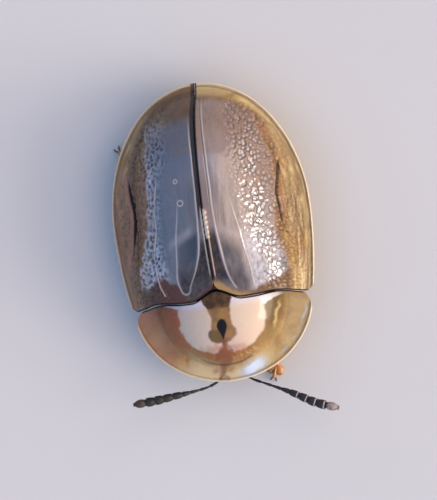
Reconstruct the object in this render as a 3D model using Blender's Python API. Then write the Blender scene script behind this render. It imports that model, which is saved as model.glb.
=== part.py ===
"""A tortoise beetle, about 11 mm long, standing on a surface: a still, life-size model.

The head points to -Y and the tail to +Y. Z is up, and the feet stand on Z = 0. X is across the body,
and the beetle's left is +X. The wing cases and the shield behind the head are one low dome whose edge
flares out into a thin brim. The body, the head and the six legs hang under that dome.
"""

import math

import bmesh
import bpy
import numpy as np
from mathutils import Vector

MM = 0.001

# Driving sizes of the dome
ORIGIN_TO_BASE = -1.32 * MM  # Y of the seam's front end, so that the origin is under the box's middle
ELYTRA_LENGTH = 7.61 * MM  # from the seam's front end to the tail
ELYTRA_HALF_WIDTH = 3.68 * MM
WIDEST_AT = 2.7 * MM  # how far behind the seam's front end the wing cases are widest
SHOULDER_NARROWING = 0.3 * MM  # how much less their half width is at the shoulders
SHIELD_LENGTH = 3.41 * MM  # from the seam's front end forward to the shield's front edge
SHIELD_HALF_WIDTH = 3.4 * MM
BRIM_HEIGHT = 1.6 * MM  # top of the brim over the floor
DOME_RISE = 2.4 * MM  # top of the dome over the brim
DOME_ROUND = 0.62  # share of the dome's fall that is a plain parabola; the rest lies near the brim
SHOULDER_ROUND = 0.4  # the same at the shoulders, where the dome is flatter on top
SHOULDER_FROM = 2.6 * MM  # behind the seam's front end: where the shoulders' form begins
SHOULDER_FULL = 0.2 * MM  # and where it is reached
BRIM_STEP = 0.13  # share of the rise that is left where the brim begins
BRIM_FLARE = 1.4  # how fast the brim flattens outward
RIM_LIFT = 0.018  # how far the rim turns up, as a share of the rise
DOME_EDGE = 0.755  # where the wing cases' brim begins, as a share of the way to the rim
TAIL_EDGE = 0.15  # how much further out the brim begins at the tail
SHOULDER_EDGE = 0.1  # and at the shoulders
SHIELD_EDGE = 0.71  # where the shield's brim begins at its sides
SHIELD_FRONT_EDGE = 0.11  # how much further out it begins in front
SHIELD_RISE_SHARE = 0.665  # rise of the shield's hind edge, as a share of DOME_RISE
FRONT_FALL = 0.3685  # share of the rise that the wing cases lose at the shoulders
FRONT_FALL_POWER = 1.8
HUMP_AT = (2.3 * MM, 0.6 * MM)  # the low hump of each shoulder: X, and Y behind the seam's front end
HUMP_SIZE = (0.45 * MM, 0.6 * MM, 0.08 * MM)  # across, along, up
SHIELD_BASE_HALF_WIDTH = 2.9 * MM  # where the rounding of the shield's hind corners begins
SHIELD_SWEEP = math.radians(76)  # half angle of the arc round the shield's front
SHIELD_ARC = 0.985  # the arc's half width, as a share of the shield's
SHELL_THICKNESS = 0.5 * MM
BRIM_THICKNESS = 0.3 * MM  # at the very rim
BRIM_THINS_AT = 0.8  # reach from which the shells thin towards the rim

# The wave of the wing cases' front edge
SHIELD_BEHIND = 0.35 * MM  # how far the edge runs forward beside the seam
SHIELD_BEHIND_AT = 0.95 * MM
HOLLOW = (2.1 * MM, 0.5 * MM, 0.07 * MM)  # where it draws back again: X, half width, depth
CORNER_FORWARD = 0.12 * MM  # and how far forward it runs at the corners
CORNER_FORWARD_FROM = 2.4 * MM
CORNER_FORWARD_TO = 3.3 * MM

# Plan of one wing case
NOTCH_DEPTH = 0.5 * MM  # the rounded notch at the seam's front end, behind which the triangle shows
NOTCH_WIDTH = 0.42 * MM
SEAM_SHORT = 1.0 * MM  # the grid's last row leaves the seam this far in front of the tail
CORNER_ROUND = 0.32 * MM  # radius of the front outer corner
STRAIGHT_ROWS = 0.36  # share of the rows in front of the widest place
ROW_SPREAD = 1.25
COLUMN_SPREAD = 0.9

# The small triangle
TRIANGLE_HALF_WIDTH = 0.3 * MM
TRIANGLE_FRONT = -0.06 * MM
TRIANGLE_TIP = 0.34 * MM
TRIANGLE_TAPER = 0.82
TRIANGLE_SINK = 0.04 * MM

# Gaps between pieces that meet
PLATE_GAP = 0.2 * MM
FINE_GAP = 0.12 * MM  # round the smallest pieces

# Under the dome
BELLY_HEIGHT = 0.95 * MM  # lowest line of the underside over the floor
BELLY_CURVE = 0.14 * MM  # how far the underside's edges lie above its middle
BELLY_HALF_WIDTH = 2.6 * MM  # where BELLY_CURVE is reached
PLATE_STEP = 0.07 * MM  # how far each belly plate's hind edge stands out
BELLY_PLATES = 5
BODY_REACH = 0.79  # how far out the body's top follows the dome, as a share of its half width
FOREBODY_REACH = 0.7
BODY_EDGE = 0.1 * MM  # least thickness at the body's sides
ABDOMEN_SHARE = 0.93  # the abdomen's half length behind the widest place, as a share of the dome's
FOREBODY_FRONT = -1.75 * MM  # behind the seam's front end, as are the next four
MIDDLE_FRONT = -0.42 * MM
HIND_FRONT = 1.15 * MM
ABDOMEN_FRONT = 3.05 * MM
ABDOMEN_BACK = 6.95 * MM

# Limbs, in millimetres where a row holds several radii
LEG_SIDES = 8
FEELER_SIDES = 8
HIP_DEPTH = 0.34 * MM
HIP_RADII = (0.3 * MM, 0.36 * MM)  # at its lower and its upper end
THIGH_SHARES = (-0.06, 0.08, 0.35, 0.65, 0.9, 1.0, 1.05)  # places along the thigh
THIGH_RADII = (0.16, 0.24, 0.29, 0.3, 0.25, 0.2, 0.12)
THIGH_FLAT = 0.85
SHIN_SHARES = (-0.08, 0.05, 0.3, 0.75, 0.97, 1.1)
SHIN_RADII = (0.14, 0.22, 0.24, 0.25, 0.25, 0.16)
SHIN_FLAT = 0.9
FOOT_HEIGHT = 0.2 * MM
TOE_PIECES = ((0.1, 0.2, 0.2), (0.34, 0.2, 0.23))  # share of the foot's length, half length, half width
LOBE_AT = 0.6  # share of the foot's length
LOBE_ASIDE = 0.15 * MM
LOBE_SIZE = (0.25 * MM, 0.18 * MM)  # half length, half width
LOBE_TURN = 0.25  # radians outward
LAST_PIECE = (0.55, 0.98, 0.13 * MM)  # from and to, as shares of the foot's length, and its radius
CLAW_STEPS = ((0.13, 0.12, 0.0), (0.12, 0.02, -0.09))  # mm along, aside and up
CLAW_RADII = (0.09, 0.075, 0.03)

FRONT_Y = ORIGIN_TO_BASE - SHIELD_LENGTH
TAIL_Y = ORIGIN_TO_BASE + ELYTRA_LENGTH
WIDEST_Y = ORIGIN_TO_BASE + WIDEST_AT
TAIL_AXIS = TAIL_Y - WIDEST_Y  # half length of the ellipse that bounds the hind part
SHIELD_BASE_Y = ORIGIN_TO_BASE - 0.35 * MM
SHIELD_AXIS = SHIELD_BASE_Y - FRONT_Y
SHOULDER_Y = ORIGIN_TO_BASE - 0.45 * MM


def clear_scene():
    for obj in list(bpy.data.objects):
        bpy.data.objects.remove(obj, do_unlink=True)


def material(name, colour, roughness, metallic=0.0):
    made = bpy.data.materials.new(name)
    made.use_nodes = True
    shader = made.node_tree.nodes["Principled BSDF"]
    shader.inputs["Base Color"].default_value = (*colour, 1.0)
    shader.inputs["Roughness"].default_value = roughness
    shader.inputs["Metallic"].default_value = metallic
    return made


def new_object(name, mesh, finish):
    obj = bpy.data.objects.new(name, mesh)
    bpy.context.scene.collection.objects.link(obj)
    mesh.materials.clear()
    mesh.materials.append(finish)
    mesh.shade_smooth()
    mesh.set_sharp_from_angle(angle=math.radians(40))
    return obj


# Form of the dome


def smooth_step(low, high, value):
    share = np.clip((value - low) / (high - low), 0.0, 1.0)
    return share * share * (3.0 - 2.0 * share)


def elytra_half_width(y):
    """Half width of the wing cases in front of their widest place: a shallow parabola."""
    return ELYTRA_HALF_WIDTH - SHOULDER_NARROWING * ((WIDEST_Y - y) / (WIDEST_Y - SHOULDER_Y)) ** 2


def elytra_base_y(x):
    """Y of the wing cases' front edge: a wave that is furthest back at the seam and furthest forward
    at the shoulders."""
    x = np.abs(x)
    middle = -SHIELD_BEHIND * smooth_step(0.0, SHIELD_BEHIND_AT, x)
    hollow_x, hollow_width, hollow_depth = HOLLOW
    hollow = hollow_depth * np.exp(-(((x - hollow_x) / hollow_width) ** 2))
    corner = -CORNER_FORWARD * smooth_step(CORNER_FORWARD_FROM, CORNER_FORWARD_TO, x)
    return ORIGIN_TO_BASE + middle + hollow + corner


def brim_profile(reach, edge, boxy=0.0):
    """Height share at a reach of 0 (middle) to 1 (rim): a dome out to edge, then a flaring brim. Where
    boxy is 1 the dome is flatter on top and steeper at its edge."""
    near = np.minimum(reach / edge, 1.0)
    parabola = mixed(DOME_ROUND, SHOULDER_ROUND, boxy)
    fall = parabola * near**2 + (1.0 - parabola) * near ** mixed(6.0, 8.0, boxy)
    along = np.clip((reach - edge) / (1.0 - edge), 0.0, 1.0)
    brim = BRIM_STEP * (1.0 - along) ** BRIM_FLARE + RIM_LIFT * along**3
    return np.where(reach < edge, BRIM_STEP + (1.0 - BRIM_STEP) * (1.0 - fall), brim)


def elytra_reach(x, y):
    """Share of the way from the middle line to the rim, and how far round the tail the place lies."""
    behind = np.maximum(y - WIDEST_Y, 0.0) / TAIL_AXIS
    ahead = np.abs(x) / elytra_half_width(np.minimum(y, WIDEST_Y))
    reach = np.where(y > WIDEST_Y, np.hypot(x / ELYTRA_HALF_WIDTH, behind), ahead)
    tailward = np.where(reach > 1e-6, behind / np.maximum(reach, 1e-6), 0.0)
    return reach, tailward


def elytra_top(x, y):
    reach, tailward = elytra_reach(x, y)
    edge = DOME_EDGE + TAIL_EDGE * (1.0 - (1.0 - tailward**2) ** 2)
    boxy = smooth_step(SHOULDER_FROM, SHOULDER_FULL, y - ORIGIN_TO_BASE)
    edge = edge + SHOULDER_EDGE * boxy
    ahead = np.clip((WIDEST_Y - y) / (WIDEST_Y - SHOULDER_Y), 0.0, 1.2)
    rise = DOME_RISE * (1.0 - FRONT_FALL * ahead**FRONT_FALL_POWER)
    from_hump = ((np.abs(x) - HUMP_AT[0]) / HUMP_SIZE[0]) ** 2
    from_hump += ((y - ORIGIN_TO_BASE - HUMP_AT[1]) / HUMP_SIZE[1]) ** 2
    hump = HUMP_SIZE[2] * np.exp(-from_hump)
    return BRIM_HEIGHT + rise * brim_profile(reach, edge, boxy) + hump


def shield_top(x, y):
    ahead = np.maximum(SHIELD_BASE_Y - y, 0.0) / SHIELD_AXIS
    reach = np.hypot(x / SHIELD_HALF_WIDTH, ahead)
    forward = np.where(reach > 1e-6, ahead / np.maximum(reach, 1e-6), 0.0)
    edge = SHIELD_EDGE + SHIELD_FRONT_EDGE * forward**2
    rise = DOME_RISE * SHIELD_RISE_SHARE
    return BRIM_HEIGHT + rise * brim_profile(reach, edge)


def outward(height, x, y):
    """Unit normal of a height field, from small differences."""
    step = 0.02 * MM
    slope_x = (height(x + step, y) - height(x - step, y)) / (2 * step)
    slope_y = (height(x, y + step) - height(x, y - step)) / (2 * step)
    normal = np.stack([-slope_x, -slope_y, np.ones_like(x)], axis=-1)
    return normal / np.linalg.norm(normal, axis=-1, keepdims=True)


def surface_points(height, x, y):
    return np.stack([x, y, height(x, y)], axis=-1)


def mixed(first, second, share):
    return first + (second - first) * share


# Closed solids from sheets


def solid_between(name, outer, inner, finish):
    """One closed solid between two grids of points. The outer sheet is drawn, split into triangles and
    extruded, and the extruded copy is carried to the inner grid."""
    rows, columns, _ = outer.shape
    sheet = bmesh.new()
    carry = sheet.verts.layers.float_vector.new("carry")
    corners = []
    for i in range(rows):
        line = [sheet.verts.new(point) for point in outer[i]]
        for vertex, target in zip(line, inner[i]):
            vertex[carry] = target
        corners.append(line)
    for i in range(rows - 1):
        for j in range(columns - 1):
            around = (corners[i][j], corners[i][j + 1], corners[i + 1][j + 1], corners[i + 1][j])
            sheet.faces.new(around)
    bmesh.ops.triangulate(sheet, faces=sheet.faces[:])
    everything = sheet.verts[:] + sheet.edges[:] + sheet.faces[:]
    copied = bmesh.ops.extrude_face_region(sheet, geom=everything, use_keep_orig=True)
    for part in copied["geom"]:
        if isinstance(part, bmesh.types.BMVert):
            part.co = part[carry]
    bmesh.ops.recalc_face_normals(sheet, faces=sheet.faces[:])
    mesh = bpy.data.meshes.new(name)
    sheet.to_mesh(mesh)
    sheet.free()
    return new_object(name, mesh, finish)


def inner_side(outer, normal, thickness, keep_x=None):
    """The sheet's other side, a thickness further in along the normal. Columns in keep_x stay in the
    plane of the seam."""
    offset = -normal * thickness[..., None]
    if keep_x is not None:
        offset[:, keep_x, 0] = 0.0
    return outer + offset


# Wing cases


def elytron_plan(rows=22, columns=13):
    """X and Y of one wing case's grid. Column 0 runs along the seam, the last column round the rim,
    row 0 along the front edge and the last row along the end of the seam."""
    half_gap = PLATE_GAP / 2
    v = np.linspace(0.0, 1.0, rows)
    u = np.linspace(0.0, 1.0, columns) ** COLUMN_SPREAD
    corner, straight = CORNER_ROUND, STRAIGHT_ROWS
    rim_y = SHOULDER_Y + (WIDEST_Y - SHOULDER_Y) * np.clip(v / straight, 0.0, 1.0) ** ROW_SPREAD
    last_turn = math.acos(half_gap / ELYTRA_HALF_WIDTH)
    turn = np.clip((v - straight) / (1.0 - straight), 0.0, 1.0) * last_turn
    into_corner = np.clip((SHOULDER_Y + corner - rim_y) / corner, 0.0, 1.0)
    rounding = corner * (1.0 - np.sqrt(1.0 - into_corner**2)) * 0.8
    rim_x = np.where(v <= straight, elytra_half_width(rim_y) - rounding, ELYTRA_HALF_WIDTH * np.cos(turn))
    rim_y = np.where(v <= straight, rim_y, WIDEST_Y + TAIL_AXIS * np.sin(turn))
    seam_y = mixed(ORIGIN_TO_BASE + NOTCH_DEPTH, TAIL_Y - SEAM_SHORT, v)
    x = mixed(np.full_like(v, half_gap)[:, None], rim_x[:, None], u[None, :])
    y = mixed(seam_y[:, None], rim_y[:, None], u[None, :])
    into_notch = np.clip(1.0 - (x[0] - half_gap) / NOTCH_WIDTH, 0.0, 1.0)
    front = elytra_base_y(x[0]) + NOTCH_DEPTH * (1.0 - np.sqrt(1.0 - into_notch**2))
    pull = (front - y[0])[None, :] * (1.0 - v[:, None]) ** 3
    return x, y + pull


def elytron(name, side, finish):
    x, y = elytron_plan()
    top = surface_points(elytra_top, x, y)
    normal = outward(elytra_top, x, y)
    reach, _ = elytra_reach(x, y)
    thickness = mixed(SHELL_THICKNESS, BRIM_THICKNESS, smooth_step(BRIM_THINS_AT, 1.0, reach))
    under = inner_side(top, normal, thickness, keep_x=0)
    under[-1, :, 0] = top[-1, :, 0]
    mirror = np.array([side, 1.0, 1.0])
    return solid_between(name, top * mirror, under * mirror, finish)


# Shield over the head


def shield_plan(rows=11, columns=25):
    """X and Y of the shield's grid: row 0 follows the wing cases' front edge, and the last row is the
    arc round the front. The end columns follow a quarter ellipse, which rounds the hind corners."""
    across = np.linspace(-1.0, 1.0, columns)
    share = np.linspace(0.0, 1.0, rows)[:, None]
    arc_x = SHIELD_HALF_WIDTH * SHIELD_ARC * np.sin(SHIELD_SWEEP * across)
    arc_y = SHIELD_BASE_Y - SHIELD_AXIS * np.cos(SHIELD_SWEEP * across)
    base_x = SHIELD_BASE_HALF_WIDTH * across
    base_y = elytra_base_y(base_x) - PLATE_GAP
    x = mixed(base_x[None, :], arc_x[None, :], share)
    y = mixed(base_y[None, :], arc_y[None, :], share)
    turn = share * math.pi / 2
    bulge_x = (np.sin(turn) - share) * (arc_x[-1] - base_x[-1])
    bulge_y = (1.0 - np.cos(turn) - share) * (arc_y[-1] - base_y[-1])
    near_side = np.abs(across) ** 8
    return x + bulge_x * near_side * np.sign(across), y + bulge_y * near_side


def shield(finish):
    x, y = shield_plan()
    top = surface_points(shield_top, x, y)
    normal = outward(shield_top, x, y)
    reach = np.hypot(x / SHIELD_HALF_WIDTH, np.maximum(SHIELD_BASE_Y - y, 0.0) / SHIELD_AXIS)
    thickness = mixed(SHELL_THICKNESS, BRIM_THICKNESS, smooth_step(BRIM_THINS_AT, 1.0, reach))
    under = inner_side(top, normal, thickness)
    return solid_between("pronotum", top, under, finish)


def scutellum(finish):
    """The small triangle where the seam begins, level with the wing cases on both sides."""
    rows, columns = 6, 7
    back = np.linspace(0.0, 1.0, rows)[:, None]
    across = np.linspace(-1.0, 1.0, columns)[None, :]
    x = across * TRIANGLE_HALF_WIDTH * (1.0 - TRIANGLE_TAPER * back)
    y = ORIGIN_TO_BASE + mixed(TRIANGLE_FRONT, TRIANGLE_TIP, back) + 0.0 * across
    top = surface_points(elytra_top, x, y) - np.array([0.0, 0.0, TRIANGLE_SINK])
    under = top - np.array([0.0, 0.0, SHELL_THICKNESS])
    return solid_between("scutellum", top, under, finish)


# Body under the dome


def belly(x, y, ridges=0.0, first_y=0.0, pitch=1.0):
    """Height of the underside: lowest along the middle. With ridges, each plate's hind edge stands a
    little lower than the front of the next."""
    height = BELLY_HEIGHT + BELLY_CURVE * (x / BELLY_HALF_WIDTH) ** 2
    if ridges:
        height = height - ridges * np.mod((y - first_y) / pitch, 1.0)
    return height


def body_block(name, height, reach_of, y_range, rows, columns, reach, finish, underside):
    """A block whose top runs parallel to the dome, a shell and a gap below it, and whose bottom is the
    underside. reach_of gives the half width of the dome at y. Points move inward across the body and
    down, never along it, so that the block's ends stay flat."""
    y = np.linspace(*y_range, rows)[:, None]
    across = np.linspace(-1.0, 1.0, columns)[None, :]
    x = across * reach * reach_of(y)
    y = y + 0.0 * x
    top = surface_points(height, x, y)
    normal = outward(height, x, y)
    inset = SHELL_THICKNESS + PLATE_GAP
    top[..., 0] -= inset * normal[..., 0]
    top[..., 2] -= inset * (normal[..., 1] ** 2 + normal[..., 2] ** 2) / normal[..., 2]
    edge_height = underside(top[..., 0], top[..., 1]) + BODY_EDGE
    top[..., 2] = np.maximum(top[..., 2], edge_height)
    bottom = top.copy()
    bottom[..., 2] = underside(top[..., 0], top[..., 1])
    return solid_between(name, top, bottom, finish)


def abdomen_reach(y):
    """Half width of the dome for the abdomen, drawn in a little towards the tail."""
    round_tail = np.sqrt(np.clip(1.0 - ((y - WIDEST_Y) / (TAIL_AXIS * ABDOMEN_SHARE)) ** 2, 0.0, 1.0))
    return ELYTRA_HALF_WIDTH * round_tail


def shield_reach(y):
    ahead = np.clip((SHIELD_BASE_Y - y) / SHIELD_AXIS, 0.0, 1.0)
    return SHIELD_HALF_WIDTH * np.sqrt(1.0 - ahead**2)


def trunk(finish_thorax, finish_abdomen):
    """Forebody, middle body, hind body and abdomen, parted by thin cuts."""
    cut = PLATE_GAP
    ends = (FOREBODY_FRONT, MIDDLE_FRONT, HIND_FRONT, ABDOMEN_FRONT, ABDOMEN_BACK)
    fore_front, middle_front, hind_front, abdomen_front, abdomen_back = (ORIGIN_TO_BASE + end for end in ends)
    body_block(
        "prothorax", shield_top, shield_reach, (fore_front, middle_front - cut), 7, 13,
        FOREBODY_REACH, finish_thorax, belly,
    )
    body_block(
        "mesothorax", elytra_top, elytra_half_width, (middle_front, hind_front - cut), 6, 15,
        BODY_REACH, finish_thorax, belly,
    )
    body_block(
        "metathorax", elytra_top, lambda y: ELYTRA_HALF_WIDTH + 0.0 * y, (hind_front, abdomen_front - cut),
        7, 15, BODY_REACH, finish_thorax, belly,
    )
    plate_pitch = (abdomen_back - abdomen_front) / BELLY_PLATES * 1.0001

    def ribbed(x, y):
        return belly(x, y, PLATE_STEP, abdomen_front, plate_pitch)

    body_block(
        "abdomen", elytra_top, abdomen_reach, (abdomen_front, abdomen_back), 16, 15,
        BODY_REACH, finish_abdomen, ribbed,
    )


# Limbs


def smooth_route(points, count):
    """Evenly spaced places on a Catmull-Rom curve through the points."""
    knots = np.array([points[0]] + list(points) + [points[-1]], float)
    places = []
    for i in range(len(points) - 1):
        a, b, c, d = knots[i], knots[i + 1], knots[i + 2], knots[i + 3]
        t = np.linspace(0.0, 1.0, 24, endpoint=i == len(points) - 2)[:, None]
        curve = 2 * b + (c - a) * t + (2 * a - 5 * b + 4 * c - d) * t**2 + (3 * b - a - 3 * c + d) * t**3
        places.append(curve / 2)
    places = np.concatenate(places)
    gone = np.concatenate([[0.0], np.cumsum(np.linalg.norm(np.diff(places, axis=0), axis=1))])
    wanted = np.linspace(0.0, gone[-1], count) if np.isscalar(count) else gone[-1] * np.asarray(count)
    return np.stack([np.interp(wanted, gone, places[:, axis]) for axis in range(3)], axis=1)


def tube_mesh(points, radii, sides, flat=1.0):
    """A closed tube: a ring of points round each place, bridged to the next, with a fan on each end.
    flat scales its height."""
    points = np.asarray(points, float)
    heading = np.gradient(points, axis=0)
    heading /= np.linalg.norm(heading, axis=1, keepdims=True)
    bm = bmesh.new()
    rings = []
    for centre, along, radius in zip(points, heading, radii):
        across = Vector(along).cross(Vector((0.0, 0.0, 1.0)))
        across = across.normalized() if across.length > 1e-6 else Vector((1.0, 0.0, 0.0))
        up = across.cross(Vector(along)).normalized()
        ring = []
        for k in range(sides):
            turn = 2 * math.pi * (k + 0.5) / sides
            spoke = across * math.cos(turn) * radius + up * math.sin(turn) * radius * flat
            ring.append(bm.verts.new(Vector(centre) + spoke))
        rings.append(ring)
    for first, second in zip(rings, rings[1:]):
        for k in range(sides):
            following = (k + 1) % sides
            bm.faces.new((first[k], first[following], second[following], second[k]))
    for ring in (rings[0], rings[-1]):
        bm.faces.new(ring)
    bmesh.ops.recalc_face_normals(bm, faces=bm.faces[:])
    return bm


def ball_mesh(centre, half_sizes, sides=10, rings=6, heading=0.0):
    """A ball stretched to three half sizes and turned about Z."""
    bm = bmesh.new()
    bmesh.ops.create_uvsphere(bm, u_segments=sides, v_segments=rings, radius=1.0)
    turn_x, turn_y = math.cos(heading), math.sin(heading)
    for vertex in bm.verts:
        x, y, z = (vertex.co[k] * half_sizes[k] for k in range(3))
        turned = (x * turn_x - y * turn_y, x * turn_y + y * turn_x, z)
        vertex.co = Vector(centre) + Vector(turned)
    return bm


def drum_mesh(centre, low_radius, high_radius, depth, sides=12):
    bm = bmesh.new()
    bmesh.ops.create_cone(
        bm, cap_ends=True, segments=sides, radius1=low_radius, radius2=high_radius, depth=depth
    )
    bmesh.ops.translate(bm, verts=bm.verts[:], vec=Vector(centre))
    return bm


def piece(bm):
    """A loose helper object for a Boolean, from a bmesh."""
    mesh = bpy.data.meshes.new("piece")
    bm.to_mesh(mesh)
    bm.free()
    return bpy.data.objects.new("piece", mesh)


def evaluated_mesh(obj):
    graph = bpy.context.evaluated_depsgraph_get()
    return bpy.data.meshes.new_from_object(obj.evaluated_get(graph), depsgraph=graph).copy()


def largest_surface(mesh):
    """Keeps the mesh's largest closed surface and drops the rest."""
    bm = bmesh.new()
    bm.from_mesh(mesh)
    unseen = set(bm.verts)
    groups = []
    while unseen:
        front = [unseen.pop()]
        group = set(front)
        while front:
            vertex = front.pop()
            for edge in vertex.link_edges:
                other = edge.other_vert(vertex)
                if other in unseen:
                    unseen.discard(other)
                    group.add(other)
                    front.append(other)
        groups.append(group)
    largest = max(groups, key=len)
    loose = [vertex for group in groups if group is not largest for vertex in group]
    bmesh.ops.delete(bm, geom=loose, context="VERTS")
    bm.to_mesh(mesh)
    bm.free()
    return mesh


def fused(name, bodies, finish, cutters=()):
    """One node from closed pieces: a single union, then the cuts, and its largest closed surface."""
    group = bpy.data.collections.new(name + "_pieces")
    bpy.context.scene.collection.children.link(group)
    objects = [piece(bm) for bm in bodies]
    for obj in objects + list(cutters):
        group.objects.link(obj)
    base = objects[0]
    if len(objects) > 1:
        rest = bpy.data.collections.new(name + "_rest")
        bpy.context.scene.collection.children.link(rest)
        for obj in objects[1:]:
            rest.objects.link(obj)
        union = base.modifiers.new("Join", "BOOLEAN")
        union.operation = "UNION"
        union.operand_type = "COLLECTION"
        union.collection = rest
        union.solver = "EXACT"
    for cutter in cutters:
        cut = base.modifiers.new("Cut", "BOOLEAN")
        cut.operation = "DIFFERENCE"
        cut.object = cutter
        cut.solver = "EXACT"
    bpy.context.view_layer.update()
    mesh = largest_surface(evaluated_mesh(base))
    for obj in objects + list(cutters):
        bpy.data.objects.remove(obj, do_unlink=True)
    for collection in [group] + ([rest] if len(objects) > 1 else []):
        bpy.data.collections.remove(collection)
    mesh.name = name
    return new_object(name, mesh, finish)


# Legs: hip, knee, ankle and toe, in millimetres from the seam's front end, before the feet are set level

HIP_TOP = BELLY_HEIGHT - PLATE_GAP
LEGS = {
    "front_left": ((0.6, -1.05, 0.5), (1.85, -1.6, 0.58), (1.58, -2.78, 0.36), (1.32, -3.55, 0.2)),
    "front_right": ((-0.6, -1.05, 0.5), (-1.95, -1.35, 0.58), (-2.1, -2.0, 0.36), (-1.9, -2.72, 0.2)),
    "middle_left": ((0.8, 0.5, 0.5), (2.15, 0.3, 0.58), (2.75, 0.95, 0.36), (3.2, 1.55, 0.2)),
    "middle_right": ((-0.8, 0.5, 0.5), (-2.2, 0.35, 0.58), (-2.8, 1.05, 0.36), (-3.15, 1.7, 0.2)),
    "hind_left": ((0.75, 2.25, 0.5), (2.0, 2.85, 0.58), (2.35, 3.95, 0.36), (2.6, 4.8, 0.2)),
    "hind_right": ((-0.75, 2.25, 0.5), (-1.95, 3.1, 0.58), (-2.7, 4.35, 0.36), (-3.2, 5.3, 0.2)),
}


def in_frame(point):
    x, y, z = point
    return np.array([x * MM, y * MM + ORIGIN_TO_BASE, z * MM])


def foot_pieces(ankle, toe):
    """Two short toe pieces, a two-lobed pad, the last thin piece and a pair of claws."""
    along = toe - ankle
    along[2] = 0.0
    length = np.linalg.norm(along)
    along /= length
    side = np.array([-along[1], along[0], 0.0])
    turn = math.atan2(along[1], along[0])
    level = np.array([0.0, 0.0, FOOT_HEIGHT])
    start = np.array([ankle[0], ankle[1], 0.0]) + level
    made = []
    for share, long, wide in TOE_PIECES:
        centre = start + along * length * share
        made.append(ball_mesh(centre, (long * MM, wide * MM, FOOT_HEIGHT * 1.3), heading=turn))
    for hand in (-1.0, 1.0):
        centre = start + along * length * LOBE_AT + side * hand * LOBE_ASIDE
        half_sizes = (*LOBE_SIZE, FOOT_HEIGHT * 1.25)
        made.append(ball_mesh(centre, half_sizes, heading=turn + hand * LOBE_TURN))
    tip_start, tip_end, tip_radius = LAST_PIECE
    tip_from = start + along * length * tip_start
    tip_to = start + along * length * tip_end + np.array([0.0, 0.0, 0.03 * MM])
    made.append(tube_mesh([tip_from, mixed(tip_from, tip_to, 0.5), tip_to], [tip_radius] * 3, 7))
    for hand in (-1.0, 1.0):
        route = [tip_to - along * 0.06 * MM, tip_to]
        for step_along, step_aside, step_up in CLAW_STEPS:
            step = along * step_along + side * hand * step_aside + np.array([0.0, 0.0, step_up])
            route.append(route[-1] + step * MM)
        route.pop(1)
        made.append(tube_mesh(route, np.array(CLAW_RADII) * MM, 5))
    return made


def leg(name, joints, finish):
    hip, knee, ankle, toe = (in_frame(point) for point in joints)
    centre = np.array([hip[0], hip[1], HIP_TOP - HIP_DEPTH / 2])
    hip_drum = drum_mesh(centre, *HIP_RADII, HIP_DEPTH)
    thigh_route = [mixed(hip, knee, share) for share in THIGH_SHARES]
    thigh = tube_mesh(thigh_route, np.array(THIGH_RADII) * MM, LEG_SIDES, THIGH_FLAT)
    shin_route = [mixed(knee, ankle, share) for share in SHIN_SHARES]
    shin = tube_mesh(shin_route, np.array(SHIN_RADII) * MM, LEG_SIDES, SHIN_FLAT)
    bodies = [thigh, shin, hip_drum] + foot_pieces(ankle, toe)
    return fused("leg_" + name, bodies, finish, cutters=[floor_cutter()])


def floor_cutter():
    """A slab under the floor, which makes each foot's flat."""
    bm = bmesh.new()
    bmesh.ops.create_cube(bm, size=20 * MM)
    bmesh.ops.translate(bm, verts=bm.verts[:], vec=Vector((0.0, 0.0, -10 * MM)))
    return piece(bm)


# Head and feelers

HEAD_CENTRE = in_frame((0.0, -2.32, 1.12))
HEAD_HALF = np.array([0.62, 0.42, 0.4]) * MM
FACE_CENTRE = HEAD_CENTRE + np.array([0.0, -0.2, -0.12]) * MM
FACE_HALF = np.array([0.3, 0.3, 0.28]) * MM
EYE_ASIDE = np.array([0.6, -0.02, 0.02]) * MM  # from the head's centre
EYE_HALF = np.array([0.32, 0.3, 0.34]) * MM
LIP_CENTRE = HEAD_CENTRE + np.array([0.0, -0.16, -0.56]) * MM
LIP_HALF = np.array([0.3, 0.22, 0.15]) * MM
JAW_ASIDE = np.array([0.15, -0.05, -0.1]) * MM  # from the lip's centre
JAW_HALF = np.array([0.15, 0.2, 0.13]) * MM
PALP_START = np.array([0.22, 0.02, -0.03]) * MM  # the short feelers beside the mouth
PALP_REACH = np.array([0.26, -0.2, -0.14]) * MM
PALP_RADII = np.array([0.12, 0.12, 0.07]) * MM


def head(finish):
    """The capsule, with the raised plate between the feelers and the front of the mouth."""
    capsule = ball_mesh(HEAD_CENTRE, HEAD_HALF, 16, 10)
    face = ball_mesh(FACE_CENTRE, FACE_HALF, 12, 8)
    return fused("head", [capsule, face], finish)


def eye(name, side, finish):
    """A long oval on the side of the head, cut to lie parallel to it."""
    centre = HEAD_CENTRE + EYE_ASIDE * np.array([side, 1.0, 1.0])
    ball = ball_mesh(centre, EYE_HALF, 14, 10)
    clearance = piece(ball_mesh(HEAD_CENTRE, HEAD_HALF + FINE_GAP, 24, 16))
    return fused(name, [ball], finish, cutters=[clearance])


def mouthparts(finish):
    """The lip, a pair of jaws and a pair of short feelers, below the head."""
    parts = [ball_mesh(LIP_CENTRE, LIP_HALF, 12, 6)]
    for side in (-1.0, 1.0):
        mirror = np.array([side, 1.0, 1.0])
        parts.append(ball_mesh(LIP_CENTRE + JAW_ASIDE * mirror, JAW_HALF, 10, 6))
        start = LIP_CENTRE + PALP_START * mirror
        end = start + PALP_REACH * mirror
        parts.append(tube_mesh([start, mixed(start, end, 0.5), end], PALP_RADII, 7))
    clearance = piece(ball_mesh(HEAD_CENTRE, HEAD_HALF + FINE_GAP, 24, 16))
    face_clearance = piece(ball_mesh(FACE_CENTRE, FACE_HALF + FINE_GAP, 20, 12))
    return fused("mouthparts", parts, finish, cutters=[clearance, face_clearance])


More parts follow.
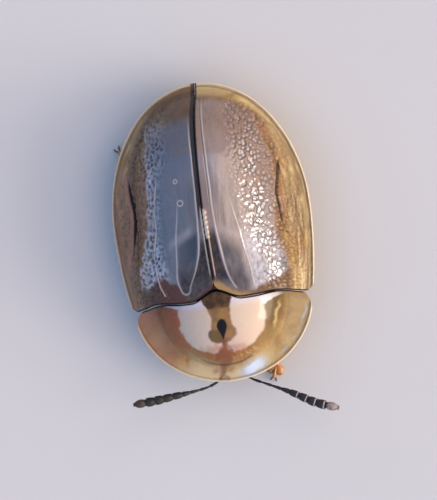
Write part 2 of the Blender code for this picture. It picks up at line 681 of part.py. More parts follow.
# Lengths of a feeler's eleven joints, from the head out, and their widest radii in mm
JOINT_LENGTHS = np.array([1.5, 0.8, 1.3, 1.2, 1.1, 0.9, 1.1, 1.05, 1.0, 1.0, 1.5])
JOINT_RADII = np.array([0.25, 0.24, 0.24, 0.24, 0.24, 0.25, 0.27, 0.29, 0.3, 0.3, 0.28])

FEELERS = {
    "antenna_left": (
        (0.38, -2.86, 1.02), (0.42, -3.2, 0.98), (0.62, -3.5, 1.02), (1.11, -3.68, 1.12),
        (1.9, -4.03, 1.26), (2.42, -4.31, 1.34), (2.94, -4.59, 1.4), (3.74, -4.87, 1.46),
    ),
    "antenna_right": (
        (-0.38, -2.86, 1.02), (-0.42, -3.14, 0.98), (-0.62, -3.4, 1.02), (-1.05, -3.55, 1.12),
        (-1.6, -3.64, 1.26), (-2.3, -3.72, 1.34), (-3.06, -3.8, 1.4), (-3.82, -3.84, 1.46),
    ),
}


def feeler(name, route, finish):
    """A string of eleven joints: a tube that narrows between one joint and the next."""
    ends = np.concatenate([[0.0], np.cumsum(JOINT_LENGTHS)]) / JOINT_LENGTHS.sum()
    shares, radii = [], []
    for first, last, radius in zip(ends, ends[1:], JOINT_RADII):
        long = last - first
        shares += [first + 0.04 * long, first + 0.3 * long, first + 0.86 * long]
        radii += [radius * 0.78, radius * 0.95, radius]
    shares[-1] -= 0.3 * long
    shares += [first + 0.84 * long, 1.0]
    radii += [JOINT_RADII[-1] * 0.75, JOINT_RADII[-1] * 0.3]
    places = smooth_route([in_frame(point) for point in route], shares)
    return fused(name, [tube_mesh(places, np.array(radii) * MM, FEELER_SIDES)], finish)


def main():
    clear_scene()
    case_finish = material("wing_case", (0.19, 0.13, 0.10), 0.28)
    shield_finish = material("shield", (0.56, 0.38, 0.20), 0.3)
    dark_finish = material("dark_cuticle", (0.09, 0.055, 0.035), 0.4)
    belly_finish = material("belly_cuticle", (0.17, 0.10, 0.05), 0.42)
    head_finish = material("head_cuticle", (0.35, 0.2, 0.09), 0.38)
    eye_finish = material("eye", (0.02, 0.018, 0.017), 0.15)
    feeler_finish = material("feeler", (0.035, 0.04, 0.032), 0.5)
    leg_finish = material("leg_cuticle", (0.55, 0.29, 0.09), 0.32)
    elytron("elytron_left", 1.0, case_finish)
    elytron("elytron_right", -1.0, case_finish)
    shield(shield_finish)
    scutellum(dark_finish)
    trunk(dark_finish, belly_finish)
    head(head_finish)
    eye("eye_left", 1.0, eye_finish)
    eye("eye_right", -1.0, eye_finish)
    mouthparts(head_finish)
    for name, route in FEELERS.items():
        feeler(name, route, feeler_finish)
    for name, joints in LEGS.items():
        leg(name, joints, leg_finish)


main()
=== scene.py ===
"""Looks of a life-size tortoise beetle: a glossy, pitted dome with a see-through brim, over a flat body.

The file is laid out as a Blender add-on and is run as a script. It loads the solid model, covers each
sub-part with a fine surface of the real thickness, and sets the floor, the lights and the camera.

Shapes are worked out in millimetres in the seam frame: X across the body (the beetle's left is +X), Y
from the front end of the seam between the wing cases (the tail is at +Y, the head at -Y), Z up from the
floor. build_mesh moves them into the model's own frame, in metres.
"""

import math
from types import SimpleNamespace

import bpy
import numpy as np
from bpy.props import FloatProperty, FloatVectorProperty, PointerProperty
from mathutils import Matrix, Vector


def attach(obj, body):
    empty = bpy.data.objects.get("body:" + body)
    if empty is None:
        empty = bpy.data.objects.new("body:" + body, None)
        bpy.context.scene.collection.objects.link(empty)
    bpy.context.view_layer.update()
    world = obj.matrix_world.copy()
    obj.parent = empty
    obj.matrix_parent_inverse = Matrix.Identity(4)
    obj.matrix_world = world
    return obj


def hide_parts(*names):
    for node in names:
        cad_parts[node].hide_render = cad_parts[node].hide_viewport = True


bl_info = {
    "name": "Tortoise beetle",
    "version": (1, 0, 0),
    "blender": (4, 5, 0),
    "location": "3D View > Sidebar > Beetle",
    "description": "Builds the fine shell, body and limbs of a life-size tortoise beetle over its solids",
    "category": "Add Mesh",
}

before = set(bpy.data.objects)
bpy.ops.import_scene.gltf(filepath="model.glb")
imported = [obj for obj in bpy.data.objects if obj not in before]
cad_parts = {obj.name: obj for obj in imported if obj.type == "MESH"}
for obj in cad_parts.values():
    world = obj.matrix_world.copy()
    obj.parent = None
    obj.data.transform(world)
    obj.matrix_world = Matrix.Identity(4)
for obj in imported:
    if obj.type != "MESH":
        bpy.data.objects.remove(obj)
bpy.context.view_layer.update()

MM = 0.001
BODY = "root"
SEAM_START = -1.32  # Y of the seam's front end in the model's frame, in mm
BRIM_STEP = 0.13  # share of the dome's rise that is left where the brim begins
DOME_ROUND = 0.62  # share of the dome's fall that is a plain parabola, the rest lies near the brim
SHOULDER_ROUND = 0.4  # the same at the shoulders
CORNER_Y = -0.45  # Y of the wing cases' front corners
CORNER_INSET = 0.3  # how much narrower the wing cases are there than at their widest
FRONT_FALL = 0.3685  # share of the dome's rise that is lost at the front corners
SHIELD_CENTRE_Y = -0.35  # Y of the centre of the shield's half ellipse
SHIELD_RISE = 0.665  # the shield's rise as a share of the dome's
SHIELD_RIM = 0.985  # the shield's outer arc as a share of its half ellipse
RIM_STARTS = 0.993  # share of the way out at which the outermost edge rounds off


# Settings


def length_setting(name, description, millimetres):
    """A length, kept in metres."""
    return FloatProperty(name=name, description=description, default=millimetres * MM, unit="LENGTH")


def colour_setting(name, description, colour):
    """A colour in linear red, green and blue."""
    return FloatVectorProperty(
        name=name, description=description, default=colour, size=3, min=0.0, max=2.0, subtype="COLOR"
    )


class BeetleForm(bpy.types.PropertyGroup):
    """Driving sizes of the shell and limbs"""

    case_length: length_setting("Wing case length", "From the seam's front end to the tail", 7.61)
    half_width: length_setting("Half width", "Half the width across both wing cases", 3.68)
    widest: length_setting("Widest at", "How far behind the seam's front end they are widest", 2.7)
    shield_length: length_setting("Shield length", "From the seam's front end to the shield's edge", 3.41)
    shield_half_width: length_setting("Shield half width", "Half the width of the shield's base", 3.4)
    brim_height: length_setting("Brim height", "Top of the brim over the floor", 1.6)
    dome_rise: length_setting("Dome rise", "Top of the dome over the brim", 2.4)
    shell: length_setting("Shell thickness", "Thickness of the wing cases and shield", 0.12)
    rim: length_setting("Rim thickness", "Thickness at the brim's outer edge", 0.07)
    seam_gap: length_setting("Seam gap", "Gap between the two wing cases", 0.02)
    plate_gap: length_setting("Plate gap", "Gap between the wing cases and the shield", 0.04)
    pit_pitch: length_setting("Pit spacing", "Spacing of the pits on the wing cases", 0.16)
    pit_depth: length_setting("Pit depth", "Depth of the largest pits", 0.04)
    belly: length_setting("Belly height", "Lowest line of the underside over the floor", 0.95)


class BeetleFinish(bpy.types.PropertyGroup):
    """Colours of the cuticle"""

    disc: colour_setting("Disc", "Wing cases' raised part", (0.1, 0.07, 0.058))
    disc_pale: colour_setting("Disc haze", "Milky haze over the disc", (0.3, 0.24, 0.22))
    disc_dark: colour_setting("Disc shade", "Dark patches seen through the disc", (0.012, 0.009, 0.01))
    slope: colour_setting("Slope", "Brown band between disc and brim", (0.23, 0.115, 0.05))
    brim: colour_setting("Brim", "See-through brim", (0.37, 0.235, 0.085))
    brim_pale: colour_setting("Brim streaks", "Pale streaks and rim of the brim", (0.75, 0.56, 0.24))
    vein: colour_setting("Vein", "Pale lines along the wing cases", (0.5, 0.42, 0.37))
    cream: colour_setting("Cream", "Pale patches of the shield", (0.53, 0.42, 0.31))
    cream_shade: colour_setting("Cream shade", "Rosier clouds in the pale patches", (0.56, 0.39, 0.31))
    lilac: colour_setting("Lilac", "Pale bands along the shield's base", (0.56, 0.52, 0.58))
    amber: colour_setting("Amber", "Shield round the pale patches", (0.2, 0.1, 0.03))
    rosewood: colour_setting("Rosewood", "Reddish tinge of the beetle's right side", (0.26, 0.07, 0.03))
    slit_rim: colour_setting("Slit rim", "Rosy band outside the slits", (0.5, 0.2, 0.12))
    chill: colour_setting("Shaded tail", "Bluish tail of the wing case in shade", (0.05, 0.07, 0.11))
    # The net colour is painted reflection of the cool room and painted glints between the pits; the speckled
    # haze uses it too
    net: colour_setting("Net", "Pale ridges and cells between the pits", (0.45, 0.46, 0.52))
    pit: colour_setting("Pit", "Bottoms of the pits", (0.026, 0.014, 0.012))
    rim_pale: colour_setting("Rim", "Thin pale line round the brim", (0.66, 0.56, 0.4))
    salmon: colour_setting("Salmon", "Rosy corner of the shield", (0.5, 0.16, 0.08))
    russet: colour_setting("Russet", "Reddish side of the shield", (0.46, 0.13, 0.04))
    # The whitish patch set here is a painted reflection of the sky on the shield's front
    frost: colour_setting("Frost", "Whitish patch on the shield's front", (0.55, 0.63, 0.74))
    tan: colour_setting("Tan", "Stalk between the pale patches", (0.26, 0.145, 0.05))
    umber: colour_setting("Umber", "Dark marks of the shield and slope", (0.05, 0.026, 0.012))
    ochre: colour_setting("Ochre", "Round lobes beside the black drop", (0.1, 0.064, 0.018))
    black: colour_setting("Black", "Feelers and the shield's middle spot", (0.008, 0.006, 0.005))
    olive: colour_setting("Olive", "Feeler hairs, together with umber", (0.09, 0.085, 0.03))
    leg: colour_setting("Leg", "Amber legs", (0.5, 0.2, 0.04))
    under: colour_setting("Chest", "Dark brown chest", (0.05, 0.026, 0.012))
    under_pale: colour_setting("Belly", "Brown belly", (0.13, 0.065, 0.025))


class BeetleStage(bpy.types.PropertyGroup):
    """Lights, floor and camera"""

    key: FloatProperty(name="Key light", description="Brightness of the warm lamp", default=9.5)
    sky: FloatProperty(name="Surround", description="Brightness of the room", default=1.0)
    cool: colour_setting("Cool side", "Room on the beetle's right", (0.35, 0.58, 1.02))
    warm: colour_setting("Warm side", "Room on the beetle's left", (1.95, 1.58, 1.42))
    camera_distance: FloatProperty(
        name="Camera distance", description="From the brim to the lens", default=0.12, unit="LENGTH"
    )
    roll: FloatProperty(
        name="Side tilt",
        description="How far the camera leans to the beetle's left",
        default=math.radians(8.05),
        unit="ROTATION",
    )


def settings_in_mm():
    """The form's settings as plain numbers in millimetres."""
    form = bpy.context.scene.beetle_form
    return SimpleNamespace(**{key: getattr(form, key) / MM for key in BeetleForm.__annotations__})


# Mesh building


def grid_quads(rows, columns, wrap=False):
    """Corner indices of a grid's quads. wrap joins the last column to the first."""
    i = np.arange(rows - 1)[:, None]
    j = np.arange(columns if wrap else columns - 1)[None, :]
    k = (j + 1) % columns
    here, after = i * columns, (i + 1) * columns
    return np.stack([here + j, here + k, after + k, after + j], axis=-1).reshape(-1, 4)


def loft(rings, first_pole, last_pole):
    """A closed surface through rings of points, one row a ring, closed by a fan to a pole at each end."""
    rows, columns, _ = rings.shape
    count = rows * columns
    points = np.concatenate([rings.reshape(-1, 3), np.reshape([first_pole, last_pole], (2, 3))])
    around = np.arange(columns)
    after = (around + 1) % columns
    last = (rows - 1) * columns
    first_fan = np.stack([np.full(columns, count), after, around], -1)
    last_fan = np.stack([np.full(columns, count + 1), last + around, last + after], -1)
    return SimpleNamespace(points=points, faces=[grid_quads(rows, columns, True), first_fan, last_fan])


def ball(centre, half, rows=16, columns=24):
    """An ellipsoid: rings at equal steps of latitude between two poles on Z."""
    theta = np.linspace(0.0, math.pi, rows + 2)[1:-1, None]
    phi = np.linspace(0.0, 2 * math.pi, columns, endpoint=False)[None, :]
    height = np.cos(theta) + 0.0 * phi
    sphere = np.stack([np.sin(theta) * np.cos(phi), np.sin(theta) * np.sin(phi), height], axis=-1)
    centre, half = np.asarray(centre, float), np.asarray(half, float)
    pole = np.array([0.0, 0.0, 1.0]) * half
    return loft(centre + sphere * half, centre + pole, centre - pole)


def tube(route, widths, heights=None, sides=16, round_ends=True):
    """A closed tube along a route. Each ring is an ellipse, widths across and heights up, at right
    angles to the route. The ends are rounded off by two more rings and a pole."""
    route = np.asarray(route, float)
    widths = np.asarray(widths, float)
    heights = widths if heights is None else np.asarray(heights, float)
    along = np.gradient(route, axis=0)
    along /= np.linalg.norm(along, axis=1, keepdims=True)
    if round_ends:
        angles = np.radians([65.0, 35.0])
        caps, poles = [], []
        for index, sign in ((0, -1.0), (-1, 1.0)):
            reach = sign * 0.5 * (widths[index] + heights[index])
            caps.append(route[index] + reach * np.cos(angles)[:, None] * along[index])
            poles.append(route[index] + reach * along[index])
        scale = np.concatenate([np.sin(angles), np.ones(len(route)), np.sin(angles)[::-1]])
        route = np.concatenate([caps[0], route, caps[1][::-1]])
        source = np.clip(np.arange(-2, len(along) + 2), 0, len(along) - 1)
        along, widths, heights = along[source], widths[source] * scale, heights[source] * scale
    else:
        poles = route[0], route[-1]
    across = np.cross(along, [0.0, 0.0, 1.0])
    steep = np.linalg.norm(across, axis=1, keepdims=True) < 1e-3
    across = np.where(steep, [1.0, 0.0, 0.0], across)
    across /= np.linalg.norm(across, axis=1, keepdims=True)
    up = np.cross(across, along)
    turn = np.linspace(0.0, 2 * math.pi, sides, endpoint=False)[None, :, None]
    rings = route[:, None, :] + np.cos(turn) * (across * widths[:, None])[:, None, :]
    rings = rings + np.sin(turn) * (up * heights[:, None])[:, None, :]
    return loft(rings, *poles)


def hairs(roots, directions, lengths, radius):
    """Many thin cones of three sides, each from its root along its direction to a point."""
    roots, directions = np.asarray(roots, float), np.asarray(directions, float)
    directions = directions / np.linalg.norm(directions, axis=1, keepdims=True)
    across = np.cross(directions, [0.31, 0.17, 0.94])
    across /= np.linalg.norm(across, axis=1, keepdims=True)
    up = np.cross(across, directions)
    turn = np.radians([0.0, 120.0, 240.0])[None, :, None]
    base = roots[:, None, :] + radius * (np.cos(turn) * across[:, None, :] + np.sin(turn) * up[:, None, :])
    tip = (roots + directions * np.asarray(lengths, float)[:, None])[:, None, :]
    points = np.concatenate([base, tip], axis=1).reshape(-1, 3)
    start = np.arange(len(roots))[:, None, None] * 4
    corners = np.array([[0, 3, 1], [1, 3, 2], [2, 3, 0], [0, 1, 2]])[None]
    return SimpleNamespace(points=points, faces=[(start + corners).reshape(-1, 3)])


INNER_STEP = 4  # the inner side of a shell has one point for this many of the outer side's


def shell(outer, inner):
    """A closed thin shell between two grids, with its outer side facing up. The inner side keeps every
    fourth row and column, and the rim joins four outer edges to each inner one."""
    rows, columns, _ = outer.shape
    inner = inner[::INNER_STEP, ::INNER_STEP]
    outer_ring = ring_of(np.arange(rows * columns).reshape(rows, columns))
    inner_ids = np.arange(inner.shape[0] * inner.shape[1]).reshape(inner.shape[:2]) + rows * columns
    inner_ring = ring_of(inner_ids)
    steps = np.arange(INNER_STEP, -1, -1)[None, :]
    start = np.arange(len(inner_ring))[:, None] * INNER_STEP
    outer_part = outer_ring[(start + steps) % len(outer_ring)]
    rim = np.concatenate([outer_part, inner_ring[:, None], np.roll(inner_ring, -1)[:, None]], axis=1)
    inner_quads = grid_quads(*inner.shape[:2])[:, ::-1] + rows * columns
    faces = [grid_quads(rows, columns), inner_quads, rim]
    first_diagonal = outer[1:, 1:] - outer[:-1, :-1]
    second_diagonal = outer[1:, :-1] - outer[:-1, 1:]
    if np.cross(first_diagonal, second_diagonal)[..., 2].sum() < 0.0:
        faces = [part[:, ::-1] for part in faces]
    points = np.concatenate([outer.reshape(-1, 3), inner.reshape(-1, 3)])
    return SimpleNamespace(points=points, faces=faces)


def ring_of(ids):
    """The ids round the border of a grid, in order."""
    return np.concatenate([ids[0, :-1], ids[:-1, -1], ids[-1, :0:-1], ids[:0:-1, 0]])


def shell_marks(marks):
    """Marks for a shell's points: the grid's own, then those of the inner side."""
    return {
        name: np.concatenate([values.ravel(), values[::INNER_STEP, ::INNER_STEP].ravel()])
        for name, values in marks.items()
    }


def build_mesh(name, parts, finishes, marks=None):
    """One mesh object from parts in the seam frame. marks maps an attribute's name to one value for each
    point. A part's own slot picks its finish."""
    faces, slots, start = [], [], 0
    for part in parts:
        for block in part.faces:
            faces.append(block + start)
            slots.append(np.full(len(block), getattr(part, "slot", 0)))
        start += len(part.points)
    points = np.concatenate([part.points for part in parts])
    points = (points + np.array([0.0, SEAM_START, 0.0])) * MM
    sizes = np.concatenate([np.full(len(block), block.shape[1]) for block in faces])
    mesh = bpy.data.meshes.new(name)
    mesh.vertices.add(len(points))
    mesh.vertices.foreach_set("co", points.astype(np.float32).ravel())
    mesh.loops.add(int(sizes.sum()))
    corners = np.concatenate([block.ravel() for block in faces])
    mesh.loops.foreach_set("vertex_index", corners.astype(np.int32))
    mesh.polygons.add(len(sizes))
    mesh.polygons.foreach_set("loop_start", (np.cumsum(sizes) - sizes).astype(np.int32))
    mesh.polygons.foreach_set("material_index", np.concatenate(slots).astype(np.int32))
    for mark_name, values in (marks or {}).items():
        attribute = mesh.attributes.new(mark_name, "FLOAT", "POINT")
        attribute.data.foreach_set("value", np.asarray(values, np.float32).ravel())
    mesh.update(calc_edges=True)
    mesh.shade_smooth()
    for finish in finishes:
        mesh.materials.append(finish)
    obj = bpy.data.objects.new(name, mesh)
    bpy.context.scene.collection.objects.link(obj)
    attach(obj, BODY)
    return obj


# Fields over a surface


def unit(value):
    """The value cut off at 0 and 1."""
    return np.clip(value, 0.0, 1.0)


def smooth_step(low, high, value):
    """0 before low, 1 past high, and a smooth S between them."""
    share = unit((value - low) / (high - low))
    return share * share * (3.0 - 2.0 * share)


def falls(low, high, value):
    """1 before low, 0 past high, and a smooth S between them."""
    return 1.0 - smooth_step(low, high, value)


def mixed(first, second, share):
    """first where share is 0, second where it is 1, and in proportion between."""
    return first + (second - first) * share


def lattice(a, b, seed):
    """A fixed pseudo-random number from 0 to 1 for each pair of whole numbers."""
    return np.mod(np.sin(a * 127.1 + b * 311.7 + seed * 74.7) * 43758.5453, 1.0)


def scattered(a, b, seed, jitter):
    """Distance, in cells, to the nearest of the dots that lie one to a cell of a unit grid, each moved
    at random, and a random number that belongs to that dot."""
    nearest, pick = np.full(np.shape(a), 9.0), np.zeros(np.shape(a))
    for step_a in (-1, 0, 1):
        for step_b in (-1, 0, 1):
            cell_a, cell_b = np.floor(a) + step_a, np.floor(b) + step_b
            dot_a = cell_a + 0.5 + jitter * (2 * lattice(cell_a, cell_b, seed) - 1)
            dot_b = cell_b + 0.5 + jitter * (2 * lattice(cell_a, cell_b, seed + 1) - 1)
            distance = np.hypot(a - dot_a, b - dot_b)
            pick = np.where(distance < nearest, lattice(cell_a, cell_b, seed + 2), pick)
            nearest = np.minimum(distance, nearest)
    return nearest, pick


def waves(a, b, seed):
    """Smooth noise from -1 to 1: the lattice's numbers blended between whole places."""
    cell_a, cell_b = np.floor(a), np.floor(b)
    share_a, share_b = smooth_step(0.0, 1.0, a - cell_a), smooth_step(0.0, 1.0, b - cell_b)
    low = mixed(lattice(cell_a, cell_b, seed), lattice(cell_a + 1, cell_b, seed), share_a)
    high = mixed(lattice(cell_a, cell_b + 1, seed), lattice(cell_a + 1, cell_b + 1, seed), share_a)
    return 2 * mixed(low, high, share_b) - 1


def line(distance, width):
    """1 on a line, falling to 0 on both sides of it."""
    return np.exp(-((distance / width) ** 2))


def bell(x, y, centre, half):
    """1 at the centre, falling to 0 round it. half is how far it reaches in X and in Y."""
    return np.exp(-(((x - centre[0]) / half[0]) ** 2) - ((y - centre[1]) / half[1]) ** 2)


def smooth_curve(value, places, levels):
    """A smooth curve through the levels at their places: a cubic between each two, with the slope at each
    place taken from its neighbours."""
    places, levels = np.asarray(places, float), np.asarray(levels, float)
    slopes = np.gradient(levels, places)
    k = np.clip(np.searchsorted(places, value) - 1, 0, len(places) - 2)
    span = places[k + 1] - places[k]
    t = unit((value - places[k]) / span)
    curve = (2 * t**3 - 3 * t**2 + 1) * levels[k] + (t**3 - 2 * t**2 + t) * span * slopes[k]
    return curve + (3 * t**2 - 2 * t**3) * levels[k + 1] + (t**3 - t**2) * span * slopes[k + 1]


def window(low, high, value, soft):
    """1 between low and high, falling to 0 on both sides over soft."""
    half = soft / 2
    return smooth_step(low - half, low + half, value) * falls(high - half, high + half, value)


# Form of the dome


def case_half_width(f, y):
    """Half width of the wing cases in front of their widest place: a shallow parabola."""
    return f.half_width - CORNER_INSET * ((f.widest - y) / (f.widest - CORNER_Y)) ** 2


def case_front(x):
    """Y of the wing cases' front edge: a wave, furthest back at the seam, with a hollow halfway and its
    foremost places beside the hollow and at the corner."""
    x = np.abs(x)
    middle = -0.35 * smooth_step(0.0, 0.95, x)
    hollow = 0.07 * np.exp(-(((x - 2.1) / 0.5) ** 2))
    return middle + hollow - 0.12 * smooth_step(2.4, 3.3, x)


def dome_profile(reach, edge, boxy=0.0):
    """Height share at a reach of 0 (middle) to 1 (rim): a dome out to edge, then a flaring brim. Where
    boxy is 1 the dome is flatter on top and steeper at its edge."""
    near = np.minimum(reach / edge, 1.0)
    parabola = mixed(DOME_ROUND, SHOULDER_ROUND, boxy)
    fall = parabola * near**2 + (1.0 - parabola) * near ** mixed(6.0, 8.0, boxy)
    along = unit((reach - edge) / (1.0 - edge))
    brim = BRIM_STEP * (1.0 - along) ** 1.4 + 0.018 * along**3
    return np.where(reach < edge, BRIM_STEP + (1.0 - BRIM_STEP) * (1.0 - fall), brim)


def share_of(part, whole):
    """part over whole, and 0 where whole is next to nothing."""
    return np.where(whole > 1e-6, part / np.maximum(whole, 1e-6), 0.0)


def case_reach(f, x, y):
    """Share of the way from the middle line to the rim, and how far round the tail the place lies."""
    behind = np.maximum(y - f.widest, 0.0) / (f.case_length - f.widest)
    ahead = np.abs(x) / case_half_width(f, np.minimum(y, f.widest))
    reach = np.where(y > f.widest, np.hypot(x / f.half_width, behind), ahead)
    return reach, share_of(behind, reach)


def shoulder_share(y):
    """1 at the shoulders, falling to 0 at the widest place."""
    return smooth_step(2.6, 0.2, y)


def case_edge(y, tailward):
    """Reach at which the dome ends and the brim begins: further out at the shoulders and the tail."""
    tail_share = 1.0 - (1.0 - tailward**2) ** 2
    return 0.755 + 0.15 * tail_share + 0.1 * shoulder_share(y)


def case_top(f, x, y):
    """Height of the wing cases: the dome's profile, lower towards the front, with a small hump at each
    shoulder."""
    reach, tailward = case_reach(f, x, y)
    edge = case_edge(y, tailward)
    ahead = np.clip((f.widest - y) / (f.widest - CORNER_Y), 0.0, 1.2)
    rise = f.dome_rise * (1.0 - FRONT_FALL * ahead**1.8)
    hump = 0.08 * bell(np.abs(x), y, (2.3, 0.6), (0.45, 0.6))
    return f.brim_height + rise * dome_profile(reach, edge, shoulder_share(y)) + hump


def shield_reach(f, x, y):
    """Share of the way from the shield's centre to the half ellipse round it, and how far round the
    front the place lies."""
    ahead = np.maximum(SHIELD_CENTRE_Y - y, 0.0) / (f.shield_length + SHIELD_CENTRE_Y)
    reach = np.hypot(x / f.shield_half_width, ahead)
    return reach, share_of(ahead, reach)


def shield_top(f, x, y):
    """Height of the shield: the dome's profile, which ends further out at the front."""
    reach, forward = shield_reach(f, x, y)
    return f.brim_height + f.dome_rise * SHIELD_RISE * dome_profile(reach, 0.71 + 0.11 * forward**2)


def outward(f, top, x, y):
    """Unit normal of a height field, from small differences."""
    step = 0.02
    slope_x = (top(f, x + step, y) - top(f, x - step, y)) / (2 * step)
    slope_y = (top(f, x, y + step) - top(f, x, y - step)) / (2 * step)
    normal = np.stack([-slope_x, -slope_y, np.ones_like(x)], axis=-1)
    return normal / np.linalg.norm(normal, axis=-1, keepdims=True)


def relieved_shell(f, top, x, y, relief, thickness, square_seam=False):
    """A thin shell whose outer side is the height field moved along its normal by relief, and whose
    inner side is the height field moved the other way by thickness. With square_seam the first column
    and the last row keep their X, so that the shell ends square at the seam."""
    base = np.stack([x, y, top(f, x, y)], axis=-1)
    normal = outward(f, top, x, y)
    shifts = normal * relief[..., None], -normal * thickness[..., None]
    if square_seam:
        for shift in shifts:
            shift[:, 0, 0] = 0.0
            shift[-1, :, 0] = 0.0
    return base + shifts[0], base + shifts[1]


# Wing cases

# What differs between the two wing cases, +1 for the beetle's left. disc, veins, slit and pits hold Y
# along the body and X there. Of the others:
# strip holds X, and how far behind the front edge the disc begins there
# brim holds Y, and how much further out than the dome's edge the brim begins there, as reach
# tail and patch hold where the disc, and the dark patch between the first two lines, fade out
# vein_reach holds where each pale line starts and ends, and its strength
# cups are half rings that close a line in front: X, Y, half width and depth
# root holds where the dark wedge along the seam fades in and where it fades out
# ridge holds X, front and back of the low ridge beside the seam
# seam and seam_soft are the widths of the black line and of the shade along the seam
# rings are small round scars: X, Y and radius
# dusk is 1 on the side that lies in shade; the colours it lays there are painted shade
CASE_SIDES = {
    1.0: SimpleNamespace(
        disc=(
            (0.49, 0.94, 1.3, 1.63, 2.2, 3.0, 3.93, 4.6, 5.4, 6.15, 6.5, 6.76, 6.99),
            (2.68, 2.7, 2.57, 2.47, 2.4, 2.52, 2.58, 2.53, 2.3, 2.03, 1.8, 1.41, 0.64),
        ),
        tail=(6.7, 7.2),
        strip=(
            (0.1, 0.42, 0.77, 1.04, 1.49, 1.6, 2.14, 2.54, 2.7),
            (0.36, 0.26, 0.2, 0.18, 0.16, 0.3, 0.4, 0.6, 0.8),
        ),
        brim=(
            (0.5, 0.95, 1.6, 2.3, 3.9, 4.8, 6.0, 6.8, 7.2),
            (-0.06, -0.07, -0.06, -0.02, 0.0, 0.045, 0.068, 0.02, 0.0),
        ),
        veins=(
            (
                (-0.1, 0.09, 0.31, 0.65, 1.15, 1.82, 2.4, 3.7, 5.2, 6.9),
                (0.86, 0.75, 0.66, 0.58, 0.51, 0.45, 0.4, 0.38, 0.34, 0.26),
            ),
            ((-0.1, 0.15, 0.61, 1.04, 1.57, 2.1, 3.2), (1.44, 1.44, 1.42, 1.37, 1.29, 1.22, 1.05)),
            ((-0.1, 0.13, 0.45, 0.77, 1.4), (1.88, 1.99, 2.07, 2.14, 2.2)),
        ),
        vein_reach=((0.0, 7.4, 1.0), (0.0, 3.6, 1.0), (0.0, 1.5, 0.4)),
        slit=(
            (1.3, 1.8, 2.2, 2.5, 2.8, 3.1, 3.8, 4.45),
            (2.95, 2.79, 2.68, 2.66, 2.65, 2.61, 2.68, 2.74),
        ),
        slit_ends=(2.1, 4.4),
        slit_width=0.045,
        cups=(),
        pits=((0.0, 1.2, 1.6, 2.0, 2.7, 3.9, 5.2, 6.0), (1.95, 1.9, 1.75, 1.6, 1.45, 1.38, 1.28, 1.15)),
        root=(0.05, 0.5, 1.8, 2.45),
        patch=(-0.55, 0.15),
        ridge=(0.125, 0.5, 2.3),
        seam=0.07,
        seam_soft=0.0,
        rings=(),
        dusk=0.0,
    ),
    -1.0: SimpleNamespace(
        disc=(
            (0.42, 0.91, 1.32, 1.87, 2.68, 3.5, 4.2, 5.5, 6.1, 6.5, 7.0),
            (2.78, 2.76, 2.64, 2.42, 2.14, 1.99, 2.02, 1.96, 1.97, 1.85, 1.0),
        ),
        tail=(5.95, 6.6),
        strip=(
            (0.0, 0.3, 1.12, 1.2, 1.35, 1.6, 1.75, 2.1, 2.4, 2.8),
            (0.25, 0.1, 0.1, 0.4, 0.7, 0.75, 0.95, 0.85, 0.6, 0.65),
        ),
        brim=((0.5, 1.6, 2.3, 3.9, 4.8, 6.0, 6.9, 7.4), (-0.02, 0.0, 0.05, 0.06, 0.05, 0.05, 0.076, 0.068)),
        veins=(
            (
                (-0.1, 0.2, 0.45, 0.8, 1.28, 1.76, 2.42, 3.6, 6.2),
                (1.0, 0.86, 0.73, 0.55, 0.37, 0.27, 0.21, 0.17, 0.22),
            ),
            ((-0.1, 0.2, 0.56, 0.97, 2.19, 2.84, 3.6), (1.1, 1.22, 1.28, 1.22, 1.06, 0.93, 0.82)),
            (
                (-0.1, 0.12, 0.35, 0.84, 1.26, 1.68, 2.23, 3.33, 3.88, 4.6),
                (1.8, 1.89, 1.96, 2.02, 2.05, 2.0, 1.87, 1.78, 1.66, 1.55),
            ),
        ),
        vein_reach=((0.2, 6.6, 1.0), (0.2, 3.7, 0.85), (0.0, 4.8, 1.0)),
        slit=((1.0, 1.5, 2.06, 2.47, 2.83, 3.2, 3.7, 4.4), (3.2, 3.07, 2.94, 2.85, 2.78, 2.77, 2.84, 2.89)),
        slit_ends=(1.95, 4.3),
        slit_width=0.065,
        cups=((1.04, 0.2, 0.18, 0.23),),
        pits=((0.9, 2.3, 3.4, 4.7, 5.5), (1.75, 1.72, 1.65, 1.38, 1.22)),
        root=(0.3, 0.6, 1.5, 2.1),
        patch=(-0.16, 0.1),
        ridge=(0.05, 0.55, 3.0),
        seam=0.05,
        seam_soft=0.16,
        rings=((0.75, 3.27, 0.1), (0.85, 4.07, 0.065)),
        dusk=1.0,
    ),
}


def case_plan(f, rows, columns):
    """X and Y of one wing case's grid. Column 0 runs along the seam, the last column round the rim,
    row 0 along the front edge and the last row along the end of the seam."""
    half_gap = f.seam_gap / 2
    notch, notch_width, seam_end = 0.28, 0.3, f.case_length - 1.0
    corner, straight = 0.34, 0.36  # the front corner's radius, and the share of rows before the widest place
    v = np.linspace(0.0, 1.0, rows)
    u = np.linspace(0.0, 1.0, columns) ** 0.93
    rim_y = CORNER_Y + (f.widest - CORNER_Y) * unit(v / straight) ** 1.25
    turn = unit((v - straight) / (1.0 - straight)) * math.acos(half_gap / f.half_width)
    into_corner = unit((corner + CORNER_Y - rim_y) / corner)
    rounding = corner * (1.0 - np.sqrt(1.0 - into_corner**2)) * 0.8
    front_part = v <= straight
    rim_x = np.where(front_part, case_half_width(f, rim_y) - rounding, f.half_width * np.cos(turn))
    rim_y = np.where(front_part, rim_y, f.widest + (f.case_length - f.widest) * np.sin(turn))
    x = mixed(np.full((rows, 1), half_gap), rim_x[:, None], u[None, :])
    y = mixed(mixed(notch, seam_end, v)[:, None], rim_y[:, None], u[None, :])
    into_notch = unit(1.0 - (x[0] - half_gap) / notch_width)
    front = case_front(x[0]) + notch * (1.0 - np.sqrt(1.0 - into_notch**2))
    return x, y + (front - y[0])[None, :] * (1.0 - v[:, None]) ** 3


